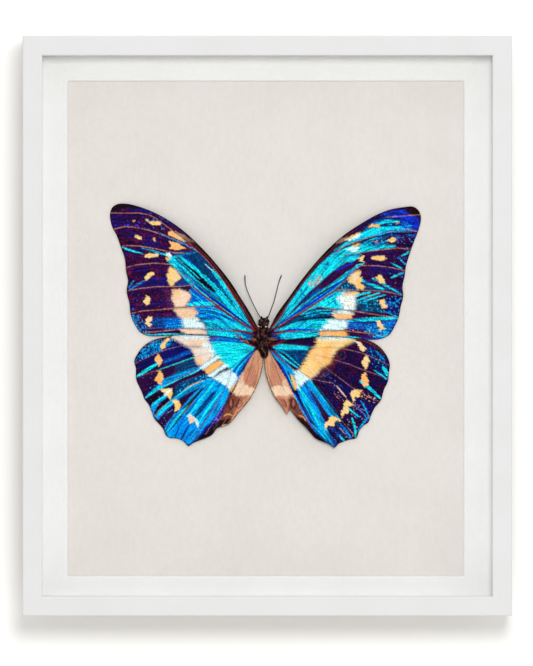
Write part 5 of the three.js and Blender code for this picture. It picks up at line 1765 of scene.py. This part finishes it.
def stageMaterial(name):
    finish = Finish(f"{name}Paint")
    facing = finish.node("ShaderNodeNewGeometry", output="Backfacing")
    paint = finish.node("ShaderNodeBsdfDiffuse", None, {"Color": rgba(stage[name])})
    clear = finish.node("ShaderNodeBsdfTransparent")
    shown = finish.node("ShaderNodeMixShader", None, {0: facing, 1: paint, 2: clear})
    finish.node("ShaderNodeOutputMaterial", None, {"Surface": shown})
    return finish.material


def stagePlane(name, matrix):
    bm = bmesh.new()
    bmesh.ops.create_grid(bm, x_segments=1, y_segments=1, size=stage["half"], matrix=matrix)
    mesh = bpy.data.meshes.new(f"stage_{name}")
    bm.to_mesh(mesh)
    bm.free()
    plane = bpy.data.objects.new(f"stage_{name}", mesh)
    bpy.context.scene.collection.objects.link(plane)
    mesh.materials.append(stageMaterial(name))
    return plane


upright = Matrix.Rotation(math.pi / 2, 4, "X")
wall = stagePlane("wall", Matrix.Translation((0, high.y + stage["wallGap"], middle.z)) @ upright)
for ray in ("diffuse", "glossy", "transmission", "shadow", "volume_scatter"):
    setattr(wall, f"visible_{ray}", False)
stagePlane("floor", Matrix.Translation((0, 0, low.z - stage["floorDrop"])))

camera = {
    "distance": 3.0,
    "sensor": 36,
    "pixelsHigh": 666,
    "frontPixel": 200 * mm / 489.5,
    "aimX": -0.33 * mm,
    "aimZ": -2.96 * mm,
}
cameraData = bpy.data.cameras.new("camera")
cameraData.sensor_width = camera["sensor"]
cameraData.lens = camera["sensor"] * camera["distance"] / (camera["pixelsHigh"] * camera["frontPixel"])
cameraObject = bpy.data.objects.new("camera", cameraData)
bpy.context.scene.collection.objects.link(cameraObject)
cameraObject.location = (middle.x + camera["aimX"], low.y - camera["distance"], middle.z + camera["aimZ"])
cameraObject.rotation_euler = (math.pi / 2, 0, 0)
bpy.context.scene.camera = cameraObject

lights = {
    "key": {"azimuth": 4.2, "elevation": 12, "size": 0.42, "power": 11.4, "glare": False},
    "back": {"azimuth": 150, "elevation": 35, "size": 0.8, "power": 14, "glare": True},
    "distance": 1.6,
    "ambient": 0.78,
    "slant": (0.06, 0, 0.42),
    # the dark patch: half angles in degrees where it starts and is full, and its light
    "patch": (22, 9),
    "patchLight": 0.02,
}
for name in ("key", "back"):
    setting = lights[name]
    lamp = bpy.data.lights.new(f"{name}Light", "AREA")
    lamp.shape = "DISK"
    lamp.size = setting["size"]
    lamp.energy = setting["power"]
    lampObject = bpy.data.objects.new(f"{name}Light", lamp)
    lampObject.visible_glossy = lampObject.visible_transmission = setting["glare"]
    bpy.context.scene.collection.objects.link(lampObject)
    a = math.radians(setting["azimuth"])
    e = math.radians(setting["elevation"])
    away = Vector((math.sin(a) * math.cos(e), -math.cos(a) * math.cos(e), math.sin(e)))
    lampObject.location = middle + away * lights["distance"]
    lampObject.rotation_euler = (-away).to_track_quat("-Z", "Y").to_euler()

# ambient light, with a dark patch straight in front so that the pane stays clear
world = bpy.data.worlds.new("softRoom")
bpy.context.scene.world = world
room = Finish("softRoom", world)
direction = room.node("ShaderNodeTexCoord", output="Generated")
dot = {"operation": "DOT_PRODUCT"}
toFront = room.node("ShaderNodeVectorMath", dot, {0: direction, 1: (0, -1, 0)}, output="Value")
slant = room.node("ShaderNodeVectorMath", dot, {0: direction, 1: lights["slant"]}, output="Value")
starts, full = [math.cos(math.radians(angle)) for angle in lights["patch"]]
patch = room.node("ShaderNodeMapRange", None, {
    "Value": toFront,
    "From Min": starts,
    "From Max": full,
    "To Min": lights["ambient"],
    "To Max": lights["patchLight"],
})
background = room.node("ShaderNodeBackground", None, {"Strength": slant * patch + patch})
room.node("ShaderNodeOutputWorld", None, {"Surface": background})

settings = bpy.context.scene.view_settings
settings.view_transform = "Standard"
settings.look = "None"
print("stage done")
